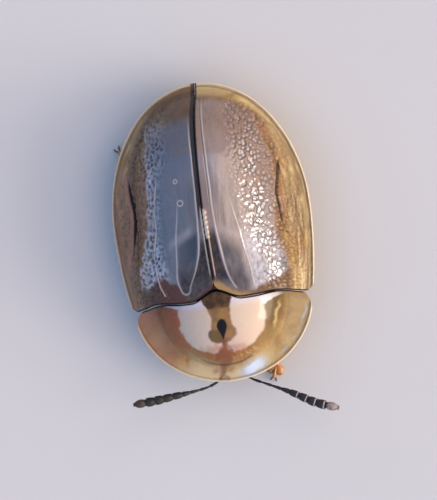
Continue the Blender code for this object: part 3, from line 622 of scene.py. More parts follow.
def case_lines(x, y, own, curves, seed):
    """The pale lines of a wing case along their curves, with its half rings and scars, and the thin dark
    furrows beside the first line, painted as the shadow of its ridge, and inside the scars."""
    half = 0.026
    wander = 0.01 * waves(x * 3.0, y * 3.0, seed + 5)
    vein = np.zeros_like(x)
    for curve, (start, end, strength) in zip(curves, own.vein_reach):
        fade = falls(end - 1.2, end, y) * smooth_step(start - 0.06, start + 0.02, y)
        vein = np.maximum(vein, line(x - curve + wander, half) * fade * strength)
    # The dark line beside the first line is painted shadow of its ridge
    furrow = line(x - curves[0] + 0.055, 0.022) * window(3.2, 6.9, y, 1.0)
    for cup_x, cup_y, cup_half, deep in own.cups:
        from_cup = np.hypot((x - cup_x) / cup_half, (y - cup_y) / deep) - 1.0
        vein = np.maximum(vein, line(from_cup, half / cup_half) * (y < cup_y))
    for ring_x, ring_y, radius in own.rings:
        from_ring = np.hypot(x - ring_x, y - ring_y)
        vein = np.maximum(vein, line(from_ring - radius, half))
        furrow = np.maximum(furrow, line(from_ring, 0.5 * radius))
    return vein, furrow


def case_pits(f, x, y, own, curves, ragged, pitted, seed):
    """The field of pits, one to a cell of a warped grid. outer is 1 past the field's inner edge, bowl
    the depth of the pits, pit their dark part, net the pale ridges or cells, which are painted reflection
    of the cool room on the side in shade and painted lamp glints on the lit side, and ripple a fine relief."""
    outer = smooth_step(-0.25, 0.25, x - smooth_curve(y, *own.pits) + 1.6 * ragged)
    warp = 0.45 * waves(x * 2.1, y * 1.7, seed + 19) + 0.25 * own.dusk * waves(x * 6.0, y * 5.0, seed + 20)
    cell_x, cell_y = (x + 0.3 * y) / f.pit_pitch + warp, (0.85 * y - 0.2 * x) / f.pit_pitch + warp
    distance, pick = scattered(cell_x, cell_y, seed + 7, jitter=0.42)
    meander = waves(x * 8.0 + 1.5 * y, y * 6.0, seed + 43) + 0.5 * waves(x * 15.0, y * 11.0, seed + 45)
    worm = line(meander, 0.22)
    patches = 0.5 + 0.5 * waves(x * 2.6, y * 1.8, seed + 41)
    size = mixed(0.72, 1.12, pick) * mixed(1.05, 0.85, own.dusk)
    past_second = smooth_step(-0.1, 0.2, x - curves[1])
    sparse = 0.04 + 0.1 * own.dusk * smooth_step(0.5, 1.2, x) + 0.25 * (1.0 - own.dusk) * past_second
    strong = mixed(sparse, 1.0, outer) * (0.4 + 0.35 * pick + 0.4 * patches + 0.15 * own.dusk) * pitted
    bowl = unit(1.0 - (distance / (0.54 * size)) ** mixed(2.6, 2.0, own.dusk))
    bowl = bowl * strong * size * mixed(0.8, 1.0, own.dusk)
    ringed = line(distance / size - 0.45, 0.14)
    pit = mixed(ringed, falls(0.2, 0.5, distance / size), own.dusk) * strong
    # Pale net on the side in shade is a painted reflection of the cool room; the bright cells below, on the
    # lit side, are painted lamp glints
    net = smooth_step(0.4, 0.65, distance / size) * (0.25 + 0.4 * patches) + 0.55 * worm * own.dusk
    net = unit(net) * outer * pitted * (1.0 - 0.6 * line(x - curves[2], 0.1))
    cell = falls(0.12, 0.36, distance / size) * strong * patches
    net = mixed(unit(1.1 * cell), net, own.dusk)
    ripple = worm * outer * pitted * own.dusk
    return SimpleNamespace(outer=outer, bowl=bowl, pit=pit, net=net, ripple=ripple)


def case_slit(x, y, own):
    """The slit near the rim, a half ellipse wide at each place, and the rosy band outside it."""
    front, back = own.slit_ends
    along = (y - front) / (back - front) * 2.0 - 1.0
    half = own.slit_width * np.sqrt(unit(1.0 - along**2)) + 0.012
    from_slit = x - smooth_curve(y, *own.slit)
    slit = falls(0.8, 1.1, np.abs(from_slit) / half) * window(front - 0.5, back, y, 0.2)
    band = line(from_slit - 0.12, 0.09) * window(front - 0.9, back + 0.4, y, 1.0)
    return slit, band


def case_marks(f, x, y, side, seed):
    """Masks over a wing case, from 0 to 1, and its relief in millimetres. CASE_SIDES holds what differs
    between the sides."""
    own = CASE_SIDES[side]
    dusk, day = own.dusk, 1.0 - own.dusk
    reach, tailward = case_reach(f, x, y)
    edge = case_edge(y, tailward)
    from_front = y - case_front(x)
    curves = [smooth_curve(y, *places) for places in own.veins]
    first, second, _ = curves

    ragged = 0.05 * waves(x * 4.0, y * 4.0, seed) + 0.035 * waves(x * 9.0, y * 9.0, seed + 1)
    from_side = x - np.interp(y, *own.disc, right=-1.0) + ragged
    from_disc = from_front - np.interp(x, *own.strip) - 0.8 * ragged
    disc = falls(-0.2, 0.14, from_side)
    disc = disc * smooth_step(-0.12, 0.14, from_disc) * falls(*own.tail, y + 2.0 * ragged)
    brim_from = edge + np.interp(y, *own.brim)
    brim = smooth_step(brim_from - 0.04, brim_from + 0.02, reach)

    vein, furrow = case_lines(x, y, own, curves, seed)
    pitted = 1.0 - 0.45 * smooth_step(edge - 0.02, edge + 0.04, reach)
    pitted = pitted * falls(0.89, 0.96, reach) * smooth_step(0.05, 0.2, from_front)
    pits = case_pits(f, x, y, own, curves, ragged, pitted, seed)
    slit, slit_rim = case_slit(x, y, own)
    ridge_at, ridge_front, ridge_back = own.ridge
    ridge = line(x - ridge_at, 0.022) * window(ridge_front, ridge_back, y, 0.3)
    # Raised beads along the seam's ridge on the lit case; the cream colour they get is a painted glint
    beads = day * line(x - 0.085, 0.06) * window(1.9, 2.95, y, 0.1)
    bead_rise = 0.5 + 0.5 * np.cos(y * 2 * math.pi / 0.2 + 4.0 * y)
    streaks = waves(reach * 55.0, y * 1.3 + 6.0 * tailward, seed + 11)
    grain = waves(reach * 90.0, y * 11.0, seed + 13)
    folds = waves(reach * 26.0, y * 0.8 + 3.0 * tailward, seed + 53)
    crease = line(folds, 0.13) * (1.0 - 0.65 * dusk) * brim
    rim = smooth_step(0.982, 0.99, reach)
    rim_line = line(reach - 0.972, 0.006)
    # The wing case's front edge: it is painted black as the shadow in the gap before the shield
    lip = falls(0.035, 0.065, from_front)
    edge_line = line(from_side + 0.02, 0.035) * (0.4 + 0.6 * dusk) * window(0.6, 6.2, y, 0.6)
    strands = 0.6 * waves(x * 22.0 - 2.0 * y, y * 1.1, seed + 31)
    strands = strands + 0.4 * waves(x * 9.0 + y, y * 0.9, seed + 33)

    relief = 0.01 * vein - f.pit_depth * pits.bowl - 0.06 * slit - 0.012 * furrow
    relief += 0.004 * line(from_front - 0.04, 0.03) + 0.02 * rim - 0.008 * rim_line
    relief += 0.018 * ridge + 0.045 * beads * bead_rise
    relief += 0.012 * edge_line + 0.006 * pits.ripple
    relief += brim * (0.013 * streaks + 0.006 * grain) - 0.01 * crease
    ripples = 0.012 * waves(x * 1.3, y * 0.9, seed + 17) + 0.004 * waves(x * 6.0, y * 2.0, seed + 23)
    relief += ripples * disc
    relief += 0.0018 * strands * disc
    relief -= smooth_step(RIM_STARTS, 1.0, reach) * f.rim * 0.5

    shade, wedge, glow = base_shade(x, y, own, first, second)
    root = smooth_step(1.5, 0.3, y) * falls(1.1, 1.35, x)
    seam = falls(own.seam - 0.02, own.seam + 0.02, x)
    soft_seam = falls(own.seam_soft - 0.03, own.seam_soft + 0.01, x) * smooth_step(2.4, 3.0, y)
    seam = np.maximum(seam, 0.8 * soft_seam) * smooth_step(0.25, 0.5, y) * (1.0 - np.maximum(ridge, beads))
    cloud = day * (1.0 - 0.4 * pits.outer) * smooth_step(-0.1, 0.2, x - second) * falls(1.5, 2.4, y)
    cloud = cloud * unit(0.7 + 0.6 * waves(x * 11.0, y * 9.0, seed + 47))
    before_disc = falls(-0.02, 0.06, from_disc) * (1.0 - brim)
    # On the beetle's left alone, which the lamp lights: honey is the band before the disc, painted lighter
    # as lit, cloud a speckled haze outside the second line, lilac a painted reflection of the cool room at
    # the shoulder, inner the strip beside the seam, and tail and warm the browner parts, where tail also
    # lightens the brim as painted light. On its right alone, which lies in shade: chill is the bluish tail,
    # painted cool shade, char the band before the disc darkened as painted shade, dusk the painted shade
    # that fades out towards the tail, and right the whole side, darkened as painted shade.
    marks = {
        "disc": disc,
        "brim": brim,
        "vein": np.maximum(vein * (1.0 - 0.35 * root), np.maximum(ridge * dusk, 0.6 * edge_line)),
        "beads": beads,
        "net": pits.net,
        "chill": dusk * smooth_step(3.8, 5.8, y),
        "honey": day * falls(-0.04, 0.08, from_disc) * falls(0.9, 1.5, x),
        "cloud": cloud,
        "lilac": day * bell(x, y, (2.5, 0.62), (0.24, 0.3)),
        "inner": day * smooth_step(0.0, -0.08, x - first) * smooth_step(2.0, 2.8, y),
        "lip": lip,
        "root": np.maximum(root * mixed(0.7, 1.0, dusk), wedge),
        "ridge": ridge * day,
        "furrow": furrow,
        "pit": pits.pit,
        "slit": slit * mixed(0.8, 1.0, dusk),
        "slit_rim": slit_rim * (1.0 - slit) * (0.3 + 0.7 * dusk),
        "streak": brim * unit(0.5 + 0.5 * streaks),
        "crease": crease,
        "strand": unit(0.5 + 0.5 * strands),
        "rim": rim,
        "rim_line": rim_line,
        "front": before_disc,
        "char": before_disc * dusk,
        "tail": smooth_step(4.2, 6.6, y) * day,
        "seam": seam,
        "shade": shade,
        "glow": glow,
        "dusk": dusk * falls(3.5, 6.0, y),
        "right": np.full_like(x, dusk),
        "warm": day * smooth_step(0.9, 2.5, x + 0.22 * (y - 3.0)) * smooth_step(2.2, 4.0, y),
    }
    gloss = (0.3 + 0.7 * disc) * (1.0 - 0.6 * brim) * (1.0 - 0.45 * shade) * (1.0 - 0.7 * before_disc)
    gloss = gloss * (1.0 - (0.1 + 0.5 * dusk) * pits.pit) * (1.0 - 0.75 * marks["root"])
    gloss = gloss * (1.0 - 0.3 * marks["warm"]) * (1.0 - 0.25 * marks["chill"])
    marks["gloss"] = np.maximum(gloss * (1.0 - seam) * (1.0 - slit), beads) * (1.0 - lip)
    return marks, relief


def base_shade(x, y, own, first, second):
    """Dark wing roots seen through the front of the disc, the wedge between the seam and the first pale
    line on its own, and the pale slanting band behind them."""
    front_low, front_high, back_low, back_high = own.root
    inner = falls(-0.1, 0.0, x - first) * falls(back_low, back_high, y)
    inner = inner * smooth_step(front_low, front_high, y)
    back = 2.3 - 0.52 * x
    outer = smooth_step(0.02, 0.1, x - first) * falls(-0.14, -0.02, x - second)
    outer = outer * smooth_step(-0.3, 0.0, y) * falls(*own.patch, y - back)
    fading = 1.0 - 0.45 * smooth_step(0.1, 0.9, x - first) * smooth_step(0.2, 1.0, y)
    speckle = 0.5 + 0.5 * waves(x * 7.0 + 2.0 * y, y * 5.0, 77.0)
    fading = fading * (1.0 - (0.25 + 0.5 * speckle) * falls(0.8, 1.4, y))
    glow = line(y - back - 0.2, 0.17) * smooth_step(0.35, 0.6, x) * falls(1.2, 1.6, x)
    return np.maximum(inner, outer * fading), inner, glow


def wing_case(f, name, side, finish, seed):
    """One wing case: the dome's surface over its plan, pitted and ridged, in a shell that thins to the
    rim."""
    x, y = case_plan(f, rows=397, columns=221)
    marks, relief = case_marks(f, x, y, side, seed)
    reach, _ = case_reach(f, x, y)
    thickness = mixed(f.shell, f.rim, smooth_step(0.75, 1.0, reach))
    outer, inner = relieved_shell(f, case_top, x, y, relief, thickness, square_seam=True)
    mirror = np.array([side, 1.0, 1.0])
    return build_mesh(name, [shell(outer * mirror, inner * mirror)], [finish], shell_marks(marks))


# Shield


def shield_plan(f, rows, columns):
    """X and Y of the shield's grid, from the wing cases' front edge to the arc round the front. The end
    columns follow a quarter ellipse, which rounds the hind corners."""
    across = np.linspace(-1.0, 1.0, columns)
    share = np.linspace(0.0, 1.0, rows)[:, None]
    base_x, sweep = 2.9, math.radians(76)
    arc_x = f.shield_half_width * SHIELD_RIM * np.sin(sweep * across)
    arc_y = SHIELD_CENTRE_Y - (f.shield_length + SHIELD_CENTRE_Y) * np.cos(sweep * across)
    base_y = case_front(base_x * across) - f.plate_gap
    x = mixed(base_x * across[None, :], arc_x[None, :], share)
    y = mixed(base_y[None, :], arc_y[None, :], share)
    turn = share * math.pi / 2
    bulge_x = (np.sin(turn) - share) * (arc_x[-1] - base_x)
    bulge_y = (1.0 - np.cos(turn) - share) * (arc_y[-1] - base_y[-1])
    near_side = np.abs(across) ** 8
    return x + bulge_x * near_side * np.sign(across), y + bulge_y * near_side


# X of the middle of the shield's pattern at some places along the body
SHIELD_LEAN = ((-3.0, -2.7, -2.2, -1.5, -1.0, -0.4), (-0.3, -0.13, 0.0, 0.05, 0.08, 0.0))


def shield_middle(across, y, wobble, blotches):
    """The marks along the shield's middle, from the base forwards: a collar, a stalk with two round
    lobes, a black drop between these, and a path to the front edge. Most are a half width over Y."""
    side = np.abs(across)
    collar_half = np.interp(y, (-0.7, -0.64, -0.5, -0.35, -0.1), (0.2, 0.4, 0.48, 0.53, 0.56))
    collar_half = collar_half + 1.2 * wobble
    collar = falls(-0.05, 0.05, side - collar_half) * smooth_step(-0.72, -0.6, y + wobble)
    stalk_half = np.interp(y, (-1.6, -1.3, -1.0, -0.7), (0.36, 0.37, 0.34, 0.4)) + 0.7 * wobble
    stalk = falls(-0.04, 0.05, side - stalk_half) * smooth_step(-1.75, -1.5, y)
    from_lobe = np.hypot(side - 0.19, 0.88 * (y + 1.57)) + 1.3 * wobble
    lobes = falls(0.25, 0.33, from_lobe)
    path_half = np.interp(y, (-3.1, -2.75, -2.42, -2.2, -1.85), (0.16, 0.2, 0.36, 0.17, 0.12))
    path = falls(-0.05, 0.07, side - path_half - 2.2 * wobble - 0.05 * blotches) * falls(-1.85, -1.7, y)
    share, widest = unit((-1.07 - y) / 0.76), 0.36
    back_half = np.sqrt(unit(1.0 - ((share - widest) / widest) ** 2))
    drop_half = np.where(share < widest, back_half, ((1.0 - share) / (1.0 - widest)) ** 0.8)
    drop = falls(-0.03, 0.03, side - 0.19 * drop_half - 0.4 * wobble) * (share > 0.0) * (share < 1.0)
    return SimpleNamespace(
        collar=collar, stalk=stalk, lobes=lobes, path=path, drop=drop,
        bare_lobes=unit(lobes - stalk * smooth_step(-1.5, -1.4, y)),
        lobe_line=line(from_lobe - 0.29, 0.035) * smooth_step(-1.35, -1.5, y),
    )


def shield_marks(f, x, y, seed):
    """Masks of the shield's pattern and its relief in millimetres. Pale patches fill an ellipse and run
    out along the base, and the marks along the middle part them. The middle line wanders to one side."""
    across = x - np.interp(y, *SHIELD_LEAN)
    wobble = 0.03 * waves(x * 3.0, y * 3.0, seed) + 0.018 * waves(x * 9.0, y * 9.0, seed + 1)
    blotches = waves(x * 7.0, y * 7.0, seed + 21)
    reach, forward = shield_reach(f, x, y)
    middle = shield_middle(across, y, wobble, blotches)

    patch = falls(0.96, 1.03, np.hypot(across / 1.62, (y + 1.05) / 1.31) + wobble)
    band_front = np.interp(across, (-2.1, -1.4, 0.0, 1.5, 2.3), (-0.33, -0.58, -0.8, -0.76, -0.45))
    band = smooth_step(-0.04, 0.06, y - band_front - 1.6 * wobble)
    band = band * falls(2.0, 2.3, np.abs(across) - 0.05 * across)
    parted = np.maximum.reduce([middle.collar, middle.stalk, middle.lobes, middle.path])
    cream = unit(np.maximum(patch, band) - parted)

    disc_edge = 0.69 + 0.12 * forward**6
    brim = smooth_step(disc_edge - 0.14, disc_edge + 0.12, reach)
    ahead = np.maximum(SHIELD_CENTRE_Y - y, 0.0) / (f.shield_length + SHIELD_CENTRE_Y)
    from_arc = np.hypot(x / (SHIELD_RIM * f.shield_half_width), ahead)
    rim = smooth_step(0.978, 0.987, from_arc)
    groove = line(from_arc - 0.966, 0.007)
    streaks = waves(np.arctan2(x, -y) * 9.0, reach * 7.0, seed + 5)
    glints = smooth_step(-0.2, 0.5, waves(y * 4.0, x, seed + 51))

    below = falls(0.5, 1.15, np.hypot(x / 1.25, (y + 2.35) / 0.45) - 0.2 * blotches) * (1.0 - brim)
    bases = bell(np.abs(across), y, (0.28, -2.98), (0.13, 0.12))
    spots = bell(x, y, (-1.62, -2.38), (0.16, 0.22)) * smooth_step(-0.6, 0.4, blotches)
    left_streak = line(y + 0.85 + 0.55 * (x + 2.0), 0.13) * window(-2.5, -1.6, x, 0.3)
    gold_line = line(x - 2.0 - 0.36 * (y + 1.15) + 0.04 * blotches, 0.045) * window(-1.6, -0.7, y, 0.4)
    flecks = bell(x, y, (0.65, -2.42), (0.55, 0.28))
    flecks = flecks * smooth_step(0.1, 0.7, waves(x * 13.0 + 4.0 * y, y * 12.0, seed + 61))
    # Middle and long axis of the whitish patch, a painted reflection of the sky
    glare_x, glare_y, along_x, along_y = 0.84, -2.99, 0.89, 0.454
    glare_along = along_x * (x - glare_x) + along_y * (y - glare_y)
    glare_aside = along_x * (y - glare_y) - along_y * (x - glare_x)
    # under is what shows through from below, gold a raised line and flecks beside the patches, the whitish
    # patch at the front a painted reflection of the sky, hem a painted shadow along the hind edge in the gap
    # under the wing cases, and sheen a row of painted glints inside the rim. dusk, deep and salmon tint the
    # beetle's right, olive its left.
    marks = {
        "cream": cream,
        "band": band * (1.0 - patch * smooth_step(-0.4, -0.75, y)),
        "stalk": unit(np.maximum(middle.stalk, middle.lobes) - middle.collar),
        "collar": middle.collar,
        "lobe": middle.bare_lobes * (across < 0.0),
        "lobe_line": middle.lobe_line,
        "path": middle.path * (0.75 + 0.25 * blotches),
        "drop": middle.drop,
        "brim": brim,
        "border": line(reach - disc_edge + 0.015, 0.012) * smooth_step(0.9, 0.97, forward),
        "rim": rim,
        "rim_line": groove,
        "streak": brim * unit(0.5 + 0.5 * streaks),
        "front": smooth_step(0.7, 0.95, forward) * brim,
        "under": unit(np.maximum.reduce([0.55 * below, 0.9 * bases, spots, 0.7 * left_streak])),
        "gold": np.maximum(gold_line, flecks),
        "frost": np.exp(-((glare_along / 0.55) ** 4) - (glare_aside / 0.22 + 0.15 * blotches) ** 4),
        "blush": middle.bare_lobes * (across > 0.0),
        "salmon": bell(x, y, (-2.75, -0.6), (0.45, 0.3)),
        "olive": smooth_step(1.3, 2.0, x) * falls(0.62, 0.78, reach),
        "dusk": smooth_step(0.8, -1.8, x) * falls(0.7, 0.95, forward) * (1.0 - 0.45 * brim),
        "deep": smooth_step(-1.2, -1.9, x) * falls(0.6, 0.8, reach),
        # hem: the shield's hind edge, painted black as the shadow in the gap under the wing cases
        "hem": smooth_step(0.05, 0.03, case_front(x) - f.plate_gap - y),
        "sheen": line(from_arc - 0.93 + 0.012 * blotches, 0.012) * smooth_step(1.6, 2.2, x) * glints,
    }
    gloss = (0.12 + 0.45 * cream) * (1.0 - marks["hem"]) * (1.0 - middle.drop)
    marks["gloss"] = gloss * (1.0 - 0.6 * np.maximum(marks["deep"], marks["olive"]))

    relief = 0.02 * rim - 0.012 * groove + 0.006 * brim * streaks
    relief += 0.006 * waves(x * 1.1, y * 1.1, seed + 9) * (1.0 - brim)
    relief += 0.003 * waves(x * 4.0, y * 4.0, seed + 15) * (1.0 - middle.drop)
    relief -= smooth_step(RIM_STARTS, 1.0, from_arc) * f.rim * 0.5
    relief -= 0.02 * line(x, 0.3) * line(y + 2.2, 0.5) + 0.01 * middle.drop
    relief += 0.012 * gold_line
    return marks, relief


def shield(f, finish):
    """The shield over the head: the dome's front part over its plan, in a shell that thins to the rim."""
    x, y = shield_plan(f, rows=141, columns=281)
    marks, relief = shield_marks(f, x, y, seed=31)
    reach, _ = shield_reach(f, x, y)
    thickness = mixed(f.shell, f.rim, smooth_step(0.72, 1.0, reach))
    outer, inner = relieved_shell(f, shield_top, x, y, relief, thickness)
    return build_mesh("shield_shell", [shell(outer, inner)], [finish], shell_marks(marks))


def scutellum(f, finish):
    """The small triangle where the seam begins, a little below the wing cases on both sides."""
    back = np.linspace(0.0, 1.0, 25)[:, None]
    across = np.linspace(-1.0, 1.0, 25)[None, :]
    x = across * 0.19 * (1.0 - 0.85 * back**1.2)
    y = mixed(-0.02, 0.36, back) - 0.05 * (1.0 - back) * np.abs(across)
    relief = -0.16 - 0.02 * np.abs(across) ** 3 + 0.0 * back
    outer, inner = relieved_shell(f, case_top, x, y, relief, np.full_like(x, 0.3))
    return build_mesh("scutellum_plate", [shell(outer, inner)], [finish])


# Body under the dome


def belly(f, x, y):
    """Height of the underside: a shallow trough, lowest in the middle."""
    return f.belly + 0.14 * (x / 2.6) ** 2 + 0.0 * y


def trunk_block(f, half_width, dome, places, ridge):
    """A closed block under the dome, lofted along the body. Each ring is flat below, follows the
    underside, and arches above, everywhere clear of the shell. The first and last rings draw in to
    close the ends."""
    bulge, top_gap, side_gap = 0.16, 0.45, 0.4
    y = places[:, None]
    turn = np.linspace(0.0, 2 * math.pi, 72, endpoint=False)[None, :]
    share = (y - y[0]) / (y[-1] - y[0])
    draw_in = (1.0 - np.abs(2 * share - 1.0) ** 14) ** 0.5
    width = half_width(f, y) * (0.86 + 0.14 * draw_in)
    x = width * np.sign(np.cos(turn)) * np.abs(np.cos(turn)) ** 0.75
    low = belly(f, x, y)
    if ridge is not None:
        low = low + ridge(x, y)
    middle = low + bulge
    lift = np.maximum(dome(f, 0.0 * y, y) - top_gap - middle, 0.05) * draw_in
    rise = np.sin(turn)
    z = np.where(rise > 0.0, middle + lift * np.abs(rise) ** 0.8, middle)
    z = np.minimum(z, dome(f, x, y + 0.0 * x) - side_gap)
    z = z + np.where(rise < 0.0, -bulge * np.abs(rise) ** 0.45 * (0.4 + 0.6 * draw_in), 0.0)
    rings = np.stack([x, y + 0.0 * x, z], axis=-1)
    return loft(rings, rings[0].mean(axis=0), rings[-1].mean(axis=0))


def abdomen_ridge(first, last):
    """Five belly plates: each rises a little towards its hind edge, where a groove parts it from the
    next, with a shallow dimple at each side."""
    pitch = (last - first) / 5

    def ridge(x, y):
        """A groove at each joint, a dimple at both sides of each plate, and a slope along the plate."""
        along = np.mod((y - first) / pitch, 1.0)
        groove = line(along, 0.07) + line(along - 1.0, 0.07)
        dimple = line(np.abs(x) - 1.5, 0.25) * line(along - 0.5, 0.25)
        return 0.04 * groove + 0.03 * dimple - 0.015 * along

    return ridge


def stations(first, last, count):
    """Places along the body, close together near both ends."""
    return mixed(first, last, 0.5 - 0.5 * np.cos(np.linspace(0.04, math.pi - 0.04, count)))


def neck_half_width(f, y):
    """Narrow at the head, wide at the middle body."""
    return mixed(1.35, 2.05, smooth_step(-1.75, -0.7, y))


def abdomen_half_width(f, y):
    """Part of an ellipse round the wing cases' widest place."""
    return 2.85 * np.sqrt(unit(1.0 - ((y - f.widest) / 5.15) ** 2))


def chest_grooves(x, y):
    """A groove along the middle and one across it."""
    return 0.05 * line(x, 0.05) * smooth_step(1.2, 1.6, y) + 0.03 * line(y - 2.65, 0.06)


# Node, piece, half width over Y, the shell above, first and last Y, number of rings, and relief
TRUNK_LENGTHS = (
    ("prothorax", "forebody", neck_half_width, shield_top, -1.76, -0.5, 30, None),
    ("mesothorax", "middle_body", lambda f, y: 2.45 + 0.1 * y, case_top, -0.36, 1.04, 30, None),
    ("metathorax", "hind_body", lambda f, y: 2.6 + 0.05 * y, case_top, 1.1, 3.0, 36, chest_grooves),
    ("abdomen", "abdomen_rings", abdomen_half_width, case_top, 3.06, 7.1, 120, abdomen_ridge(3.06, 7.1)),
)


def trunk(f, dark, brown):
    """Forebody, middle and hind body, and abdomen, each closed and replacing its own solid."""
    for node_name, name, half_width, top, first, last, count, ridge in TRUNK_LENGTHS:
        rear = node_name == "abdomen"
        block = trunk_block(f, half_width, top, stations(first, last, count), ridge)
        piece = build_mesh(name, [block], [brown if rear else dark])
        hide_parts(node_name)


# Limbs

CLAW_SLOT, BRISTLE_SLOT = 1, 2
LEG_JOINTS = {
    "leg_front_left": ((0.6, -1.05, 0.62), (1.85, -1.6, 0.7), (1.58, -2.78, 0.34), (1.32, -3.55, 0.12)),
    "leg_front_right": ((-0.6, -1.05, 0.62), (-1.95, -1.35, 0.7), (-2.1, -2.0, 0.34), (-1.9, -2.72, 0.12)),
    "leg_middle_left": ((0.8, 0.5, 0.62), (2.15, 0.3, 0.7), (2.75, 0.95, 0.34), (3.2, 1.55, 0.12)),
    "leg_middle_right": ((-0.8, 0.5, 0.62), (-2.2, 0.35, 0.7), (-2.8, 1.05, 0.34), (-3.15, 1.7, 0.12)),
    "leg_hind_left": ((0.75, 2.25, 0.62), (2.0, 2.85, 0.7), (2.35, 3.95, 0.34), (2.6, 4.8, 0.12)),
    "leg_hind_right": ((-0.75, 2.25, 0.62), (-1.95, 3.1, 0.7), (-2.8, 4.52, 0.34), (-3.38, 5.58, 0.12)),
}


def between(start, end, shares, bow=0.0):
    """Places on the way from start to end, lifted by bow in the middle."""
    shares = np.asarray(shares, float)[:, None]
    start, end = np.asarray(start, float), np.asarray(end, float)
    return start + (end - start) * shares + np.array([0.0, 0.0, 4 * bow]) * shares * (1 - shares)


def foot(ankle, toe):
    """Two short toe joints, a broad two-lobed one, the thin last one and a pair of curved claws."""
    along = np.array([toe[0] - ankle[0], toe[1] - ankle[1], 0.0])
    length = np.linalg.norm(along)
    along /= length
    side = np.array([-along[1], along[0], 0.0])
    start = np.array([ankle[0], ankle[1], 0.0])

    def at(share, height, aside=0.0):
        """A place a share of the way along the foot, at a height and off to one side."""
        return start + along * length * share + side * aside + np.array([0.0, 0.0, height])

    parts = [
        tube([at(0.0, 0.2), at(0.1, 0.17), at(0.2, 0.13)], [0.07, 0.1, 0.13], [0.07, 0.09, 0.08]),
        tube([at(0.25, 0.15), at(0.33, 0.13), at(0.4, 0.11)], [0.07, 0.12, 0.15], [0.07, 0.08, 0.07]),
    ]
    for hand in (-1.0, 1.0):
        route = [at(0.4, 0.12, 0.04 * hand), at(0.52, 0.11, 0.13 * hand), at(0.7, 0.09, 0.18 * hand)]
        parts.append(tube(route, [0.09, 0.155, 0.13], [0.08, 0.1, 0.08]))
    parts.append(tube([at(0.5, 0.17), at(0.72, 0.19), at(0.92, 0.16)], [0.045, 0.055, 0.08]))
    claw_places = ((0.94, 0.15, 0.04), (1.02, 0.15, 0.08), (1.1, 0.11, 0.11), (1.13, 0.04, 0.12))
    for hand in (-1.0, 1.0):
        route = [at(share, height, aside * hand) for share, height, aside in claw_places]
        claw = tube(route, [0.035, 0.032, 0.024, 0.008], sides=10)
        claw.slot = CLAW_SLOT
        parts.append(claw)
    return parts


def spokes(along, turn):
    """Unit vectors square to along, at the given turns round it."""
    across = np.cross(along, [0.0, 0.0, 1.0])
    across /= np.linalg.norm(across)
    up = np.cross(across, along)
    return np.cos(turn)[:, None] * across + np.sin(turn)[:, None] * up


def bristles(start, end, radius, count, seed, length):
    """Short bristles on a limb between two places, leaning towards its end."""
    pick = np.random.default_rng(seed)
    shares, turn = pick.uniform(0.05, 1.0, count), pick.uniform(0.0, 2 * math.pi, count)
    along = np.asarray(end, float) - np.asarray(start, float)
    along /= np.linalg.norm(along)
    spoke = spokes(along, turn)
    roots = between(start, end, shares) + spoke * radius * 0.9
    return hairs(roots, spoke + 1.6 * along, pick.uniform(0.6, 1.2, count) * length, radius=0.006)


def leg(node_name, joints, finishes, seed):
    """Hip knob, thigh, shin and foot: tubes whose widths swell and narrow along their routes. finishes
    are those of the leg, the claws and the bristles."""
    hip, knee, ankle, toe = (np.array(joint, float) for joint in joints)
    knob = ball(hip + np.array([0.0, 0.0, 0.2]), (0.3, 0.27, 0.2))
    lead = tube(between(hip, knee, (0.02, 0.12)), [0.13, 0.15])
    thigh = tube(
        between(hip, knee, (0.16, 0.3, 0.5, 0.7, 0.88, 0.97), 0.03),
        [0.12, 0.2, 0.24, 0.21, 0.15, 0.11],
        [0.1, 0.15, 0.18, 0.16, 0.12, 0.1],
    )
    shin_end = ankle + np.array([0.0, 0.0, -0.08])
    shin = tube(
        between(knee, shin_end, (0.02, 0.12, 0.35, 0.65, 0.9, 0.98), 0.03),
        [0.08, 0.085, 0.09, 0.11, 0.135, 0.13],
        [0.08, 0.08, 0.085, 0.095, 0.11, 0.1],
    )
    foot_middle = (toe + shin_end) / 2 + np.array([0.0, 0.0, -0.03])
    hair = [
        bristles(between(knee, shin_end, [0.5])[0], shin_end, radius=0.1, count=70, seed=seed, length=0.09),
        bristles(shin_end, foot_middle, radius=0.11, count=60, seed=seed + 1, length=0.06),
    ]
    for tuft in hair:
        tuft.slot = BRISTLE_SLOT
    parts = [knob, lead, thigh, shin] + foot(ankle, toe) + hair
    piece = build_mesh(node_name + "_fine", parts, finishes)
    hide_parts(node_name)


# Head and feelers

HEAD_CENTRE = np.array([0.0, -2.32, 1.12])


def head(finish):
    """The capsule, an ellipsoid with a shallow furrow along its top, the raised face and the sockets of
    the feelers."""
    capsule = ball(HEAD_CENTRE, (0.66, 0.42, 0.4), rows=40, columns=60)
    offset = capsule.points - HEAD_CENTRE
    furrow = 0.035 * line(offset[:, 0], 0.06) * smooth_step(-0.1, 0.25, offset[:, 2])
    capsule.points = HEAD_CENTRE + offset * (1.0 - furrow)[:, None]
    face = ball(HEAD_CENTRE + [0.0, -0.22, -0.1], (0.27, 0.26, 0.27), rows=24, columns=36)
    sockets = [ball(HEAD_CENTRE + [0.27 * side, -0.32, 0.03], (0.12, 0.12, 0.11)) for side in (-1, 1)]
    piece = build_mesh("head_capsule", [capsule, face] + sockets, [finish])
    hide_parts("head")


def eyes(finish):
    """An ellipsoid on each side of the head."""
    for side, node_name in ((1.0, "eye_left"), (-1.0, "eye_right")):
        eyeball = ball(HEAD_CENTRE + [side * 0.6, -0.03, 0.02], (0.24, 0.27, 0.3), rows=40, columns=56)
        piece = build_mesh(node_name + "_facets", [eyeball], [finish])
        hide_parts(node_name)


